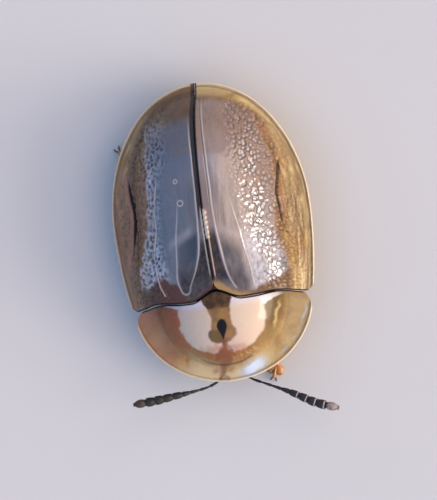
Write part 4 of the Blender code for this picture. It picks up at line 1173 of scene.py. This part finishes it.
def mouth(finish):
    """The lip, two jaws and two short mouth feelers of three joints each."""
    low = HEAD_CENTRE + [0.0, -0.2, -0.5]
    parts = [ball(low + [0.0, -0.02, 0.06], (0.25, 0.2, 0.12))]
    for side in (-1.0, 1.0):
        parts.append(ball(low + [0.13 * side, -0.04, -0.06], (0.13, 0.18, 0.1)))
        start = low + [0.2 * side, 0.02, -0.02]
        end = start + [0.24 * side, -0.2, -0.12]
        for first, last, wide in ((0.0, 0.3, 0.05), (0.36, 0.64, 0.055), (0.7, 0.98, 0.045)):
            parts.append(tube(between(start, end, (first, last)), [wide, wide * 0.9], sides=12))
    piece = build_mesh("mouth", parts, [finish])
    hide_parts("mouthparts")


# Lengths of a feeler's eleven joints, from the head out, and their widest radii in mm
JOINT_LENGTHS = np.array([1.5, 0.8, 1.3, 1.2, 1.1, 0.9, 1.1, 1.05, 1.0, 1.0, 1.5])
JOINT_RADII = np.array([0.085, 0.06, 0.055, 0.055, 0.065, 0.1, 0.13, 0.152, 0.168, 0.172, 0.158])
FIRST_CLUB_JOINT = 6
FEELER_SLOTS = {"stem": 0, "club": 1, "hair": 2, "ring": 3, "tip": 4}

# Places along a joint, and the share of its radius there
SWELL_PLACES = np.array([0.03, 0.1, 0.25, 0.45, 0.65, 0.82, 0.92])
SWELLS = {
    "stem": np.array([0.6, 0.68, 0.76, 0.84, 0.93, 1.0, 0.92]),
    "club": np.array([0.66, 0.8, 0.91, 0.97, 1.0, 0.97, 0.86]),
    "tip": np.array([0.5, 0.7, 0.95, 1.0, 0.9, 0.62, 0.34]),
}
RING_SWELL = np.array([1.03, 0.92])

FEELER_ROUTES = {
    "antenna_left": (
        (0.27, -2.68, 1.12), (0.36, -3.1, 1.06), (0.62, -3.42, 1.06), (1.11, -3.66, 1.12),
        (1.9, -4.03, 1.26), (2.42, -4.31, 1.34), (2.94, -4.59, 1.4), (3.74, -4.87, 1.46),
    ),
    "antenna_right": (
        (-0.27, -2.68, 1.12), (-0.36, -3.06, 1.06), (-0.6, -3.36, 1.06), (-1.05, -3.55, 1.12),
        (-1.6, -3.64, 1.26), (-2.3, -3.72, 1.34), (-3.06, -3.8, 1.4), (-3.82, -3.84, 1.46),
    ),
}


def smooth_route(points, shares):
    """Places at the given shares of the length of a Catmull-Rom curve through the points."""
    knots = np.array([points[0]] + list(points) + [points[-1]], float)
    a, b, c, d = (knots[k : len(points) - 1 + k, None, :] for k in range(4))
    t = np.linspace(0.0, 1.0, 40)[None, :, None]
    curve = 2 * b + (c - a) * t + (2 * a - 5 * b + 4 * c - d) * t**2 + (3 * b - a - 3 * c + d) * t**3
    places = curve.reshape(-1, 3) / 2
    gone = np.concatenate([[0.0], np.cumsum(np.linalg.norm(np.diff(places, axis=0), axis=1))])
    wanted = gone[-1] * np.asarray(shares, float)
    return np.stack([np.interp(wanted, gone, places[:, axis]) for axis in range(3)], axis=1)


def club_hairs(places, radii, pick):
    """Stiff hairs all round one joint of the club, a third of them in a ring at its end."""
    count, ring_share, ring_at = 110, 0.35, 0.97
    along = places[-1] - places[0]
    along /= np.linalg.norm(along)
    where = pick.uniform(0.0, 1.0, count)
    in_ring = pick.uniform(0.0, 1.0, count) < ring_share
    where = np.where(in_ring, ring_at, where)
    spoke = spokes(along, pick.uniform(0.0, 2 * math.pi, count))
    size = np.interp(where, np.linspace(0.0, 1.0, len(radii)), radii) * 0.95
    roots = between(places[0], places[-1], where) + spoke * size[:, None]
    lengths = np.where(in_ring, 0.085, 0.045) * pick.uniform(0.7, 1.2, count)
    return hairs(roots, spoke * 0.7 + along, lengths, radius=0.004)


def feeler(node_name, route, finishes, seed):
    """Eleven joints, each a small cup that widens outwards and rounds off. The last five are the haired
    club. finishes are those of the stem, the club, its hairs, the rings at the joints' ends and the tip."""
    ends = np.concatenate([[0.0], np.cumsum(JOINT_LENGTHS)]) / JOINT_LENGTHS.sum()
    pick = np.random.default_rng(seed)
    parts = []
    for joint, radius in enumerate(JOINT_RADII):
        club, tip = joint >= FIRST_CLUB_JOINT, joint == len(JOINT_RADII) - 1
        kind = "tip" if tip else "club" if club else "stem"
        swell = radius * SWELLS[kind]
        places = smooth_route(route, mixed(ends[joint], ends[joint + 1], SWELL_PLACES))
        made = {kind: tube(places, swell, sides=18)}
        if club and not tip:
            made["ring"] = tube(places[-2:], radius * RING_SWELL, sides=18, round_ends=False)
        if club:
            made["hair"] = club_hairs(places, swell, pick)
        for what, part in made.items():
            part.slot = FEELER_SLOTS[what]
            parts.append(part)
    piece = build_mesh(node_name + "_joints", parts, finishes)
    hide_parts(node_name)


# Shader helpers

BUMP_DEPTH = 0.01 * MM


def put_in(tree, target, value):
    """Links a socket to value where that is a socket too, and otherwise sets it. A colour gets an alpha
    of 1."""
    if isinstance(value, bpy.types.NodeSocket):
        tree.links.new(value, target)
    elif target.type == "RGBA":
        target.default_value = (*value, 1.0)
    else:
        target.default_value = value


def node(tree, kind, values=None, **choices):
    """A shader node with its options set and its sockets given a value or a link."""
    made = tree.nodes.new(kind)
    for key, value in choices.items():
        setattr(made, key, value)
    for socket, value in (values or {}).items():
        put_in(tree, made.inputs[socket], value)
    return made


def maths(tree, operation, first, second, clamp=False):
    """One operation on two numbers."""
    made = node(tree, "ShaderNodeMath", {0: first, 1: second}, operation=operation, use_clamp=clamp)
    return made.outputs[0]


def shared_out(tree, value, low, high, most=1.0):
    """0 where value is below low, most where it is above high, and a smooth S between them."""
    values = {"Value": value, "From Min": low, "From Max": high, "To Max": most}
    return node(tree, "ShaderNodeMapRange", values, interpolation_type="SMOOTHSTEP").outputs[0]


def mark(tree, name):
    """The value of one of the surface's own marks."""
    return node(tree, "ShaderNodeAttribute", attribute_name=name).outputs["Fac"]


def blended(tree, share, first, second):
    """The colour first, with second over it by share."""
    return node(tree, "ShaderNodeMix", {0: share, 6: first, 7: second}, data_type="RGBA").outputs[2]


def layered(tree, colour, layers):
    """Colours laid over colour one after another, each by a mark times an amount."""
    for name, amount, top in layers:
        colour = blended(tree, maths(tree, "MULTIPLY", mark(tree, name), amount), colour, top)
    return colour


def new_group(name, inputs, outputs):
    """An empty shader group with the given sockets, and its input and output nodes."""
    group = bpy.data.node_groups.new(name, "ShaderNodeTree")
    for label, kind, default in inputs:
        socket = group.interface.new_socket(label, in_out="INPUT", socket_type=kind)
        socket.default_value = default
    for label, kind in outputs:
        group.interface.new_socket(label, in_out="OUTPUT", socket_type=kind)
    return group, group.nodes.new("NodeGroupInput"), group.nodes.new("NodeGroupOutput")


def stretched_place(group, given):
    """Object coordinates times the group's Stretch."""
    place = node(group, "ShaderNodeTexCoord").outputs["Object"]
    values = {0: place, 1: given.outputs["Stretch"]}
    return node(group, "ShaderNodeVectorMath", values, operation="MULTIPLY").outputs[0]


def mottle_group():
    """Cloudy change of colour: soft noise, stretched along the body, blends a second colour in."""
    group, given, result = new_group(
        "Cuticle mottle",
        [
            ("Color", "NodeSocketColor", (0.5, 0.5, 0.5, 1.0)),
            ("Second", "NodeSocketColor", (0.2, 0.2, 0.2, 1.0)),
            ("Scale", "NodeSocketFloat", 1000.0),
            ("Stretch", "NodeSocketVector", (1.0, 0.3, 1.0)),
            ("Amount", "NodeSocketFloat", 0.5),
        ],
        [("Color", "NodeSocketColor"), ("Mask", "NodeSocketFloat")],
    )
    place = stretched_place(group, given)
    values = {"Vector": place, "Scale": given.outputs["Scale"], "Detail": 5.0, "Roughness": 0.6}
    noise = node(group, "ShaderNodeTexNoise", values).outputs[0]
    mask = shared_out(group, noise, 0.38, 0.66)
    share = maths(group, "MULTIPLY", mask, given.outputs["Amount"])
    colour = blended(group, share, given.outputs["Color"], given.outputs["Second"])
    group.links.new(colour, result.inputs["Color"])
    group.links.new(mask, result.inputs["Mask"])
    return group


def grain_group():
    """Fine grain of cuticle: small noise and smaller cells, as a bump."""
    group, given, result = new_group(
        "Cuticle grain",
        [
            ("Scale", "NodeSocketFloat", 12000.0),
            ("Stretch", "NodeSocketVector", (1.0, 1.0, 1.0)),
            ("Strength", "NodeSocketFloat", 0.3),
        ],
        [("Normal", "NodeSocketVector"), ("Height", "NodeSocketFloat")],
    )
    place = stretched_place(group, given)
    scale, strength = given.outputs["Scale"], given.outputs["Strength"]
    cell_scale = maths(group, "MULTIPLY", scale, 1.7)
    noise = node(group, "ShaderNodeTexNoise", {"Vector": place, "Scale": scale, "Detail": 3.0}).outputs[0]
    cells = node(group, "ShaderNodeTexVoronoi", {"Vector": place, "Scale": cell_scale}).outputs["Distance"]
    height = maths(group, "ADD", noise, maths(group, "MULTIPLY", cells, 0.4))
    bump = node(group, "ShaderNodeBump", {"Height": height, "Strength": strength, "Distance": BUMP_DEPTH})
    group.links.new(bump.outputs[0], result.inputs["Normal"])
    group.links.new(height, result.inputs["Height"])
    return group


def placed_group(tree, maker, name, values):
    """A shader group placed in a material, made first if it is not there yet."""
    made = tree.nodes.new("ShaderNodeGroup")
    made.node_tree = bpy.data.node_groups.get(name) or maker()
    for socket, value in values.items():
        put_in(tree, made.inputs[socket], value)
    return made


def mottled(tree, colour, second, scale, amount, stretch=(1.0, 1.0, 1.0)):
    """The mottle group placed in a material. Returns its colour and its mask."""
    values = {"Color": colour, "Second": second, "Scale": scale, "Stretch": stretch, "Amount": amount}
    made = placed_group(tree, mottle_group, "Cuticle mottle", values)
    return made.outputs["Color"], made.outputs["Mask"]


def grained(tree, scale, strength, stretch=(1.0, 1.0, 1.0)):
    """The grain group placed in a material. Returns its normal."""
    values = {"Scale": scale, "Strength": strength, "Stretch": stretch}
    return placed_group(tree, grain_group, "Cuticle grain", values).outputs["Normal"]


def roughness_with(tree, patch, low, spread, matt_mark):
    """Roughness from low to low plus spread by a patchy mask, and matt where a mark is."""
    patchy = maths(tree, "ADD", low, maths(tree, "MULTIPLY", patch, spread))
    return maths(tree, "ADD", patchy, maths(tree, "MULTIPLY", mark(tree, matt_mark), 0.6), clamp=True)


def kept_opaque(tree, alpha, names):
    """alpha, raised to each of the named marks."""
    for name in names:
        alpha = maths(tree, "MAXIMUM", alpha, mark(tree, name))
    return alpha


def new_material(name):
    """An empty material, its tree and its shader."""
    made = bpy.data.materials.new(name)
    made.use_nodes = True
    return made, made.node_tree, made.node_tree.nodes["Principled BSDF"]


def set_shader(tree, shader, **values):
    """Sets or links the shader's sockets. Underscores in a name stand for spaces."""
    for key, value in values.items():
        put_in(tree, shader.inputs[key.replace("_", " ")], value)


# Finishes


def finish_colours():
    """The finish's colours as plain tuples."""
    finish = bpy.context.scene.beetle_finish
    return SimpleNamespace(**{key: tuple(getattr(finish, key)) for key in BeetleFinish.__annotations__})


def case_finish(c):
    """Wing case: hazy grey-brown disc, brown slope, honey brim that lets light through."""
    made, tree, shader = new_material("wing case cuticle")
    disc, _ = mottled(tree, c.disc, c.disc_pale, scale=900.0, amount=0.6, stretch=(1.0, 0.22, 1.0))
    disc, _ = mottled(tree, disc, c.disc_pale, scale=4200.0, amount=0.4, stretch=(1.0, 0.06, 1.0))
    roots, _ = mottled(tree, c.black, c.slope, scale=7200.0, amount=0.22, stretch=(1.0, 0.7, 1.0))
    disc = layered(tree, disc, (
        ("strand", 0.3, c.disc_pale),
        # right: darkens the whole disc on the side in shade, as painted shade
        ("right", 0.6, c.disc_dark),
        ("warm", 0.55, c.slope),
        # net: painted reflection and glints over the pits
        ("net", 0.95, c.net),
        ("tail", 0.45, c.slope),
        # chill: painted cool shade on the tail of the side in shade
        ("chill", 0.85, c.chill),
        ("cloud", 0.75, c.net),
        # lilac: painted reflection of the cool room on the lit shoulder
        ("lilac", 0.7, c.chill),
        ("inner", 0.45, c.slope),
        ("glow", 0.5, c.disc_pale),
        ("shade", 0.9, c.disc_dark),
        ("root", 0.8, roots),
        ("pit", 0.8, c.pit),
    ))
    slope, _ = mottled(tree, c.slope, c.umber, scale=2200.0, amount=0.45, stretch=(1.0, 0.4, 1.0))
    slope = layered(tree, slope, (
        # net: painted glints and reflection on the slope's pits
        ("net", 0.4, c.brim_pale),
        ("front", 0.45, c.umber),
        # right darkens the slope in shade, and honey makes the band before the disc lighter on the lit side:
        # painted shade and painted light
        ("right", 0.6, c.umber),
        ("honey", 0.7, c.brim),
        ("pit", 0.7, c.umber),
        # dusk and char make the slope in shade redder and darker, as painted shade
        ("dusk", 0.35, c.rosewood),
        ("char", 0.62, c.pit),
    ))
    brim, _ = mottled(tree, c.brim, c.slope, scale=1500.0, amount=0.5, stretch=(1.0, 0.3, 1.0))
    brim = blended(tree, maths(tree, "POWER", mark(tree, "streak"), 3.0), brim, c.brim_pale)
    brim = layered(tree, brim, (
        # tail lightens the brim of the lit side as painted light; dusk darkens and reddens the brim in shade
        # as painted shade
        ("tail", 0.35, c.brim_pale),
        ("dusk", 0.6, c.slope),
        ("dusk", 0.25, c.rosewood),
        ("pit", 0.7, c.umber),
        ("crease", 0.45, c.tan),
    ))
    colour = layered(tree, slope, (
        ("disc", 1.0, disc),
        ("vein", 0.75, c.vein),
        ("brim", 1.0, brim),
        ("rim", 0.8, c.rim_pale),
        ("rim_line", 0.6, c.umber),
        ("slit_rim", 0.6, c.slit_rim),
        # furrow: painted shadow beside the first pale line, and dark middles of the scars
        ("furrow", 0.7, c.umber),
        ("ridge", 0.9, c.cream_shade),
        # slit: black painted as the shadow in the groove near the rim
        ("slit", 1.0, c.black),
        ("seam", 1.0, c.black),
        # beads: cream laid on as a painted glint
        ("beads", 1.0, c.cream),
        # lip: painted shadow in the gap before the shield
        ("lip", 1.0, c.black),
    ))
    alpha = maths(tree, "SUBTRACT", 1.0, maths(tree, "MULTIPLY", mark(tree, "brim"), 0.3))
    _, patch = mottled(tree, c.disc, c.disc, scale=5200.0, amount=0.0, stretch=(1.0, 0.6, 1.0))
    set_shader(
        tree, shader, Base_Color=colour, Alpha=kept_opaque(tree, alpha, ("rim", "slit", "lip")),
        Roughness=roughness_with(tree, patch, low=0.26, spread=0.16, matt_mark="lip"),
        Specular_IOR_Level=0.25, Coat_Weight=mark(tree, "gloss"), Coat_Roughness=0.14, Coat_IOR=2.1,
        Normal=grained(tree, scale=9000.0, strength=0.35, stretch=(1.0, 0.5, 1.0)),
    )
    return made


def shield_finish(c):
    """Shield: cream patches, tan stalk, black drop and amber border under a clear glossy skin."""
    made, tree, shader = new_material("shield cuticle")
    amber, _ = mottled(tree, c.amber, c.tan, scale=1400.0, amount=0.5)
    brim, _ = mottled(tree, c.brim, c.brim_pale, scale=1300.0, amount=0.5)
    brim = layered(tree, brim, (("streak", 0.35, c.amber), ("front", 0.8, c.brim_pale)))
    stalk, _ = mottled(tree, c.tan, c.umber, scale=3000.0, amount=0.35)
    cream, _ = mottled(tree, c.cream, c.cream_shade, scale=1100.0, amount=0.5)
    cream = layered(tree, cream, (("band", 0.8, c.lilac),))
    collar, _ = mottled(tree, c.umber, c.tan, scale=4200.0, amount=0.25)
    colour = layered(tree, amber, (
        ("brim", 1.0, brim),
        ("olive", 0.95, c.ochre),
        ("dusk", 0.8, c.russet),
        ("deep", 0.7, c.rosewood),
        ("salmon", 0.7, c.salmon),
        ("gold", 0.5, c.brim_pale),
        ("stalk", 1.0, stalk),
        ("cream", 1.0, cream),
        ("collar", 1.0, collar),
        ("lobe", 0.75, c.ochre),
        ("lobe_line", 0.5, c.umber),
        ("blush", 0.16, c.slit_rim),
        ("under", 0.65, c.russet),
        ("under", 0.35, c.umber),
        ("path", 0.6, c.umber),
        ("path", 0.5, c.rosewood),
        ("border", 0.8, c.umber),
        # The whitish patch at the front is a painted sky reflection, and sheen lays painted glints in the
        # same colour
        ("frost", 0.95, c.frost),
        ("sheen", 0.6, c.frost),
        ("drop", 1.0, c.black),
        ("rim", 0.8, c.rim_pale),
        ("rim_line", 0.5, c.umber),
        # hem: painted shadow in the gap under the wing cases
        ("hem", 1.0, c.black),
    ))
    clear = maths(tree, "ADD", 0.35, maths(tree, "MULTIPLY", mark(tree, "front"), 0.1))
    alpha = maths(tree, "SUBTRACT", 1.0, maths(tree, "MULTIPLY", mark(tree, "brim"), clear))
    _, patch = mottled(tree, c.amber, c.amber, scale=3000.0, amount=0.0)
    set_shader(
        tree, shader, Base_Color=colour, Alpha=kept_opaque(tree, alpha, ("rim", "frost", "hem")),
        Roughness=roughness_with(tree, patch, low=0.22, spread=0.14, matt_mark="hem"),
        Specular_IOR_Level=0.2, Coat_Weight=mark(tree, "gloss"), Coat_Roughness=0.1,
        Normal=grained(tree, scale=7000.0, strength=0.22),
    )
    return made


# The plain finishes: two colours, the clouds of colour in a metre, roughness, coat and grain
CUTICLES = {
    "dark triangle": ("black", "umber", 3000.0, 0.6, 0.0, 0.3),
    "chest cuticle": ("under", "umber", 1500.0, 0.3, 0.35, 0.5),
    "belly cuticle": ("under_pale", "under", 1300.0, 0.3, 0.35, 0.5),
    "head cuticle": ("tan", "umber", 1800.0, 0.3, 0.35, 0.4),
    "mouth cuticle": ("leg", "umber", 2500.0, 0.3, 0.35, 0.3),
    "feeler stem": ("black", "black", 3000.0, 0.35, 0.15, 0.3),
    "feeler club": ("black", "black", 9000.0, 0.5, 0.1, 0.8),
    "feeler hair": ("umber", "olive", 3000.0, 0.45, 0.0, 0.1),
    # The lit feeler's pale joint ends and pale tip are painted sheen and a painted glint; the other feeler
    # keeps these parts dark
    "silvery joint ends": ("disc_pale", "net", 9000.0, 0.5, 0.1, 0.4),
    "dull joint ends": ("black", "umber", 9000.0, 0.5, 0.1, 0.4),
    "silvery feeler tip": ("disc_pale", "umber", 9000.0, 0.5, 0.1, 0.8),
    "reddish feeler tip": ("umber", "umber", 5000.0, 0.5, 0.1, 0.8),
    "leg cuticle": ("leg", "tan", 2200.0, 0.28, 0.4, 0.3),
    "claw cuticle": ("umber", "black", 3000.0, 0.25, 0.4, 0.1),
    "leg hair": ("brim_pale", "tan", 3000.0, 0.45, 0.0, 0.1),
}


def cuticle(name, c):
    """One of the plain finishes: mottled glossy cuticle for the body, head and limbs."""
    colour, second, scale, roughness, coat, grain = CUTICLES[name]
    made, tree, shader = new_material(name)
    colours = getattr(c, colour), getattr(c, second)
    tinted, patch = mottled(tree, *colours, scale, amount=0.6, stretch=(1.0, 0.8, 1.0))
    set_shader(
        tree, shader, Base_Color=tinted, Coat_Weight=coat, Coat_Roughness=0.12,
        Roughness=maths(tree, "ADD", roughness, maths(tree, "MULTIPLY", patch, 0.12)),
        Normal=grained(tree, scale * 6.0, grain),
    )
    return made


def eye_finish(c):
    """Eye: near black, with fine round facets as a bump under a gloss."""
    made, tree, shader = new_material("eye facets")
    place = node(tree, "ShaderNodeTexCoord").outputs["Object"]
    cells = node(tree, "ShaderNodeTexVoronoi", {"Vector": place, "Scale": 34000.0}).outputs["Distance"]
    values = {"Height": cells, "Strength": 0.7, "Distance": BUMP_DEPTH}
    bump = node(tree, "ShaderNodeBump", values, invert=True).outputs[0]
    colour, _ = mottled(tree, c.black, c.umber, scale=4000.0, amount=0.5)
    set_shader(
        tree, shader, Base_Color=colour, Roughness=0.2, Coat_Weight=0.5, Coat_Roughness=0.1, Normal=bump
    )
    return made


def floor_finish():
    """Pale, matt studio floor with a faint cloudiness."""
    made, tree, shader = new_material("studio floor")
    colour, _ = mottled(tree, (0.58, 0.57, 0.55), (0.54, 0.535, 0.52), scale=60.0, amount=0.4)
    set_shader(tree, shader, Base_Color=colour, Roughness=0.75)
    return made


# Stage


def floor():
    """A square of floor whose far edge curves up as a quarter circle, far outside the view."""
    half, radius = 0.35, 0.2
    turn = np.linspace(0.0, math.pi / 2, 24)
    profile_y = np.concatenate([[-half, 0.0], half - radius + radius * np.sin(turn), [half]])
    profile_z = np.concatenate([[0.0, 0.0], radius * (1.0 - np.cos(turn)), [radius * 2]])
    columns = np.linspace(-half, half, 3)
    y, x = np.meshgrid(profile_y, columns, indexing="ij")
    z = np.repeat(profile_z[:, None], len(columns), axis=1)
    points = np.stack([x, y, z], axis=-1).reshape(-1, 3)
    mesh = bpy.data.meshes.new("studio_floor")
    mesh.from_pydata(points.tolist(), [], grid_quads(len(profile_y), len(columns)).tolist())
    mesh.flip_normals()
    mesh.shade_smooth()
    mesh.materials.append(floor_finish())
    obj = bpy.data.objects.new("studio_floor", mesh)
    bpy.context.scene.collection.objects.link(obj)


def lamp(name, place, size, strength, colour):
    """A square area light that faces the beetle. strength is its radiance."""
    data = bpy.data.lights.new(name, "AREA")
    data.size = size
    data.energy = strength * math.pi * size * size
    data.color = colour
    obj = bpy.data.objects.new(name, data)
    bpy.context.scene.collection.objects.link(obj)
    turned = Vector(place).to_track_quat("Z", "Y").to_matrix().to_4x4()
    obj.matrix_world = Matrix.Translation(Vector(place)) @ turned


def on_dome(azimuth, elevation, distance):
    """A place seen from the origin at an azimuth (0 is +X, 90 is +Y) and an elevation, in degrees."""
    azimuth, elevation = math.radians(azimuth), math.radians(elevation)
    flat = distance * math.cos(elevation)
    return flat * math.cos(azimuth), flat * math.sin(azimuth), distance * math.sin(elevation)


def lights(stage):
    """A warm lamp low on the beetle's left, and a room that is cool on one side, warm on the other and
    dimmer overhead."""
    place = on_dome(azimuth=-18, elevation=21, distance=0.3)
    lamp("key_light", place, size=0.155, strength=stage.key, colour=(1.0, 0.9, 0.78))
    world = bpy.data.worlds.new("studio")
    world.use_nodes = True
    tree = world.node_tree
    direction = node(tree, "ShaderNodeTexCoord").outputs["Generated"]
    axes = node(tree, "ShaderNodeSeparateXYZ", {0: direction}).outputs
    side = shared_out(tree, axes[0], -0.05, 0.45)
    overhead = shared_out(tree, axes[2], 0.86, 1.0, 0.5)
    colour = blended(tree, side, tuple(stage.cool), tuple(stage.warm))
    colour = blended(tree, overhead, colour, (0.0, 0.0, 0.0))
    shade = tree.nodes["Background"]
    tree.links.new(colour, shade.inputs["Color"])
    shade.inputs["Strength"].default_value = stage.sky
    bpy.context.scene.world = world


IMAGE_UP = Vector((0.1306, 0.9914, 0.0))  # the floor's direction that points up in the picture
TARGET = Vector((0.092, 0.106, 1.6)) * MM  # the place in the middle of the picture
VIEW_HEIGHT = 18.35 * MM  # height of the picture where the brim is
SENSOR = 36.0


def camera(stage):
    """Looks down on the beetle, with its head to the bottom of the picture."""
    data = bpy.data.cameras.new("camera")
    data.sensor_width = SENSOR
    data.lens = SENSOR * stage.camera_distance / VIEW_HEIGHT
    data.clip_start = 0.001
    obj = bpy.data.objects.new("camera", data)
    bpy.context.scene.collection.objects.link(obj)
    back = Vector((math.sin(stage.roll), 0.0, math.cos(stage.roll)))
    right = IMAGE_UP.cross(back).normalized()
    up = back.cross(right)
    place = TARGET + back * stage.camera_distance
    obj.matrix_world = Matrix.Translation(place) @ Matrix((right, up, back)).transposed().to_4x4()
    bpy.context.scene.camera = obj


# Operators


class BEETLE_OT_wing_cases(bpy.types.Operator):
    """Make both wing cases"""

    bl_idname = "beetle.wing_cases"
    bl_label = "Wing cases"

    def execute(self, context):
        f, finish = settings_in_mm(), case_finish(finish_colours())
        for side, node_name in ((1.0, "elytron_left"), (-1.0, "elytron_right")):
            piece = wing_case(f, node_name.replace("elytron", "wing_case"), side, finish, 5.0 + 2.0 * side)
            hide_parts(node_name)
        return {"FINISHED"}


class BEETLE_OT_shield(bpy.types.Operator):
    """Make the shield over the head and the small triangle behind it"""

    bl_idname = "beetle.shield"
    bl_label = "Shield"

    def execute(self, context):
        f, c = settings_in_mm(), finish_colours()
        piece = shield(f, shield_finish(c))
        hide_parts("pronotum")
        piece = scutellum(f, cuticle("dark triangle", c))
        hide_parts("scutellum")
        return {"FINISHED"}


class BEETLE_OT_trunk(bpy.types.Operator):
    """Make the four parts of the trunk under the dome"""

    bl_idname = "beetle.trunk"
    bl_label = "Trunk"

    def execute(self, context):
        c = finish_colours()
        dark = cuticle("chest cuticle", c)
        brown = cuticle("belly cuticle", c)
        trunk(settings_in_mm(), dark, brown)
        return {"FINISHED"}


class BEETLE_OT_head(bpy.types.Operator):
    """Make the head, the eyes and the mouth"""

    bl_idname = "beetle.head"
    bl_label = "Head"

    def execute(self, context):
        c = finish_colours()
        head(cuticle("head cuticle", c))
        eyes(eye_finish(c))
        mouth(cuticle("mouth cuticle", c))
        return {"FINISHED"}


class BEETLE_OT_feelers(bpy.types.Operator):
    """Make both feelers, joint by joint"""

    bl_idname = "beetle.feelers"
    bl_label = "Feelers"

    def execute(self, context):
        c = finish_colours()
        finishes = [
            cuticle("feeler stem", c),
            cuticle("feeler club", c),
            cuticle("feeler hair", c),
        ]
        # Pale ends and tip with painted sheen and glint for the lit feeler, dark ones for the other
        sheen_ends = cuticle("silvery joint ends", c)
        dull = cuticle("dull joint ends", c)
        glint_tip = cuticle("silvery feeler tip", c)
        red_tip = cuticle("reddish feeler tip", c)
        ends = {"antenna_left": [sheen_ends, glint_tip], "antenna_right": [dull, red_tip]}
        for seed, (node_name, route) in enumerate(FEELER_ROUTES.items()):
            feeler(node_name, route, finishes + ends[node_name], seed)
        return {"FINISHED"}


class BEETLE_OT_legs(bpy.types.Operator):
    """Make the six legs with their feet and claws"""

    bl_idname = "beetle.legs"
    bl_label = "Legs"

    def execute(self, context):
        c = finish_colours()
        finishes = [
            cuticle("leg cuticle", c),
            cuticle("claw cuticle", c),
            cuticle("leg hair", c),
        ]
        for index, (node_name, joints) in enumerate(LEG_JOINTS.items()):
            leg(node_name, joints, finishes, seed=40 + 2 * index)
        return {"FINISHED"}


class BEETLE_OT_stage(bpy.types.Operator):
    """Set the floor, the lights and the camera"""

    bl_idname = "beetle.stage"
    bl_label = "Stage"

    def execute(self, context):
        stage = context.scene.beetle_stage
        floor()
        lights(stage)
        camera(stage)
        context.scene.view_settings.view_transform = "Standard"
        return {"FINISHED"}


OPERATORS = (
    BEETLE_OT_wing_cases,
    BEETLE_OT_shield,
    BEETLE_OT_trunk,
    BEETLE_OT_head,
    BEETLE_OT_feelers,
    BEETLE_OT_legs,
    BEETLE_OT_stage,
)


class BEETLE_PT_panel(bpy.types.Panel):
    """Lists the beetle's settings and pieces"""

    bl_idname = "BEETLE_PT_panel"
    bl_label = "Tortoise beetle"
    bl_space_type = "VIEW_3D"
    bl_region_type = "UI"
    bl_category = "Beetle"

    def draw(self, context):
        column = self.layout.column()
        scene = context.scene
        for settings in (scene.beetle_form, scene.beetle_finish, scene.beetle_stage):
            for key in settings.__annotations__:
                column.prop(settings, key)
        for operator in OPERATORS:
            column.operator(operator.bl_idname)


CLASSES = (BeetleForm, BeetleFinish, BeetleStage, *OPERATORS, BEETLE_PT_panel)


def register():
    for made in CLASSES:
        bpy.utils.register_class(made)
    bpy.types.Scene.beetle_form = PointerProperty(type=BeetleForm)
    bpy.types.Scene.beetle_finish = PointerProperty(type=BeetleFinish)
    bpy.types.Scene.beetle_stage = PointerProperty(type=BeetleStage)


def unregister():
    del bpy.types.Scene.beetle_stage
    del bpy.types.Scene.beetle_finish
    del bpy.types.Scene.beetle_form
    for made in reversed(CLASSES):
        bpy.utils.unregister_class(made)


def main():
    register()
    for operator in OPERATORS:
        group, name = operator.bl_idname.split(".")
        getattr(getattr(bpy.ops, group), name)()


if __name__ == "__main__":
    main()
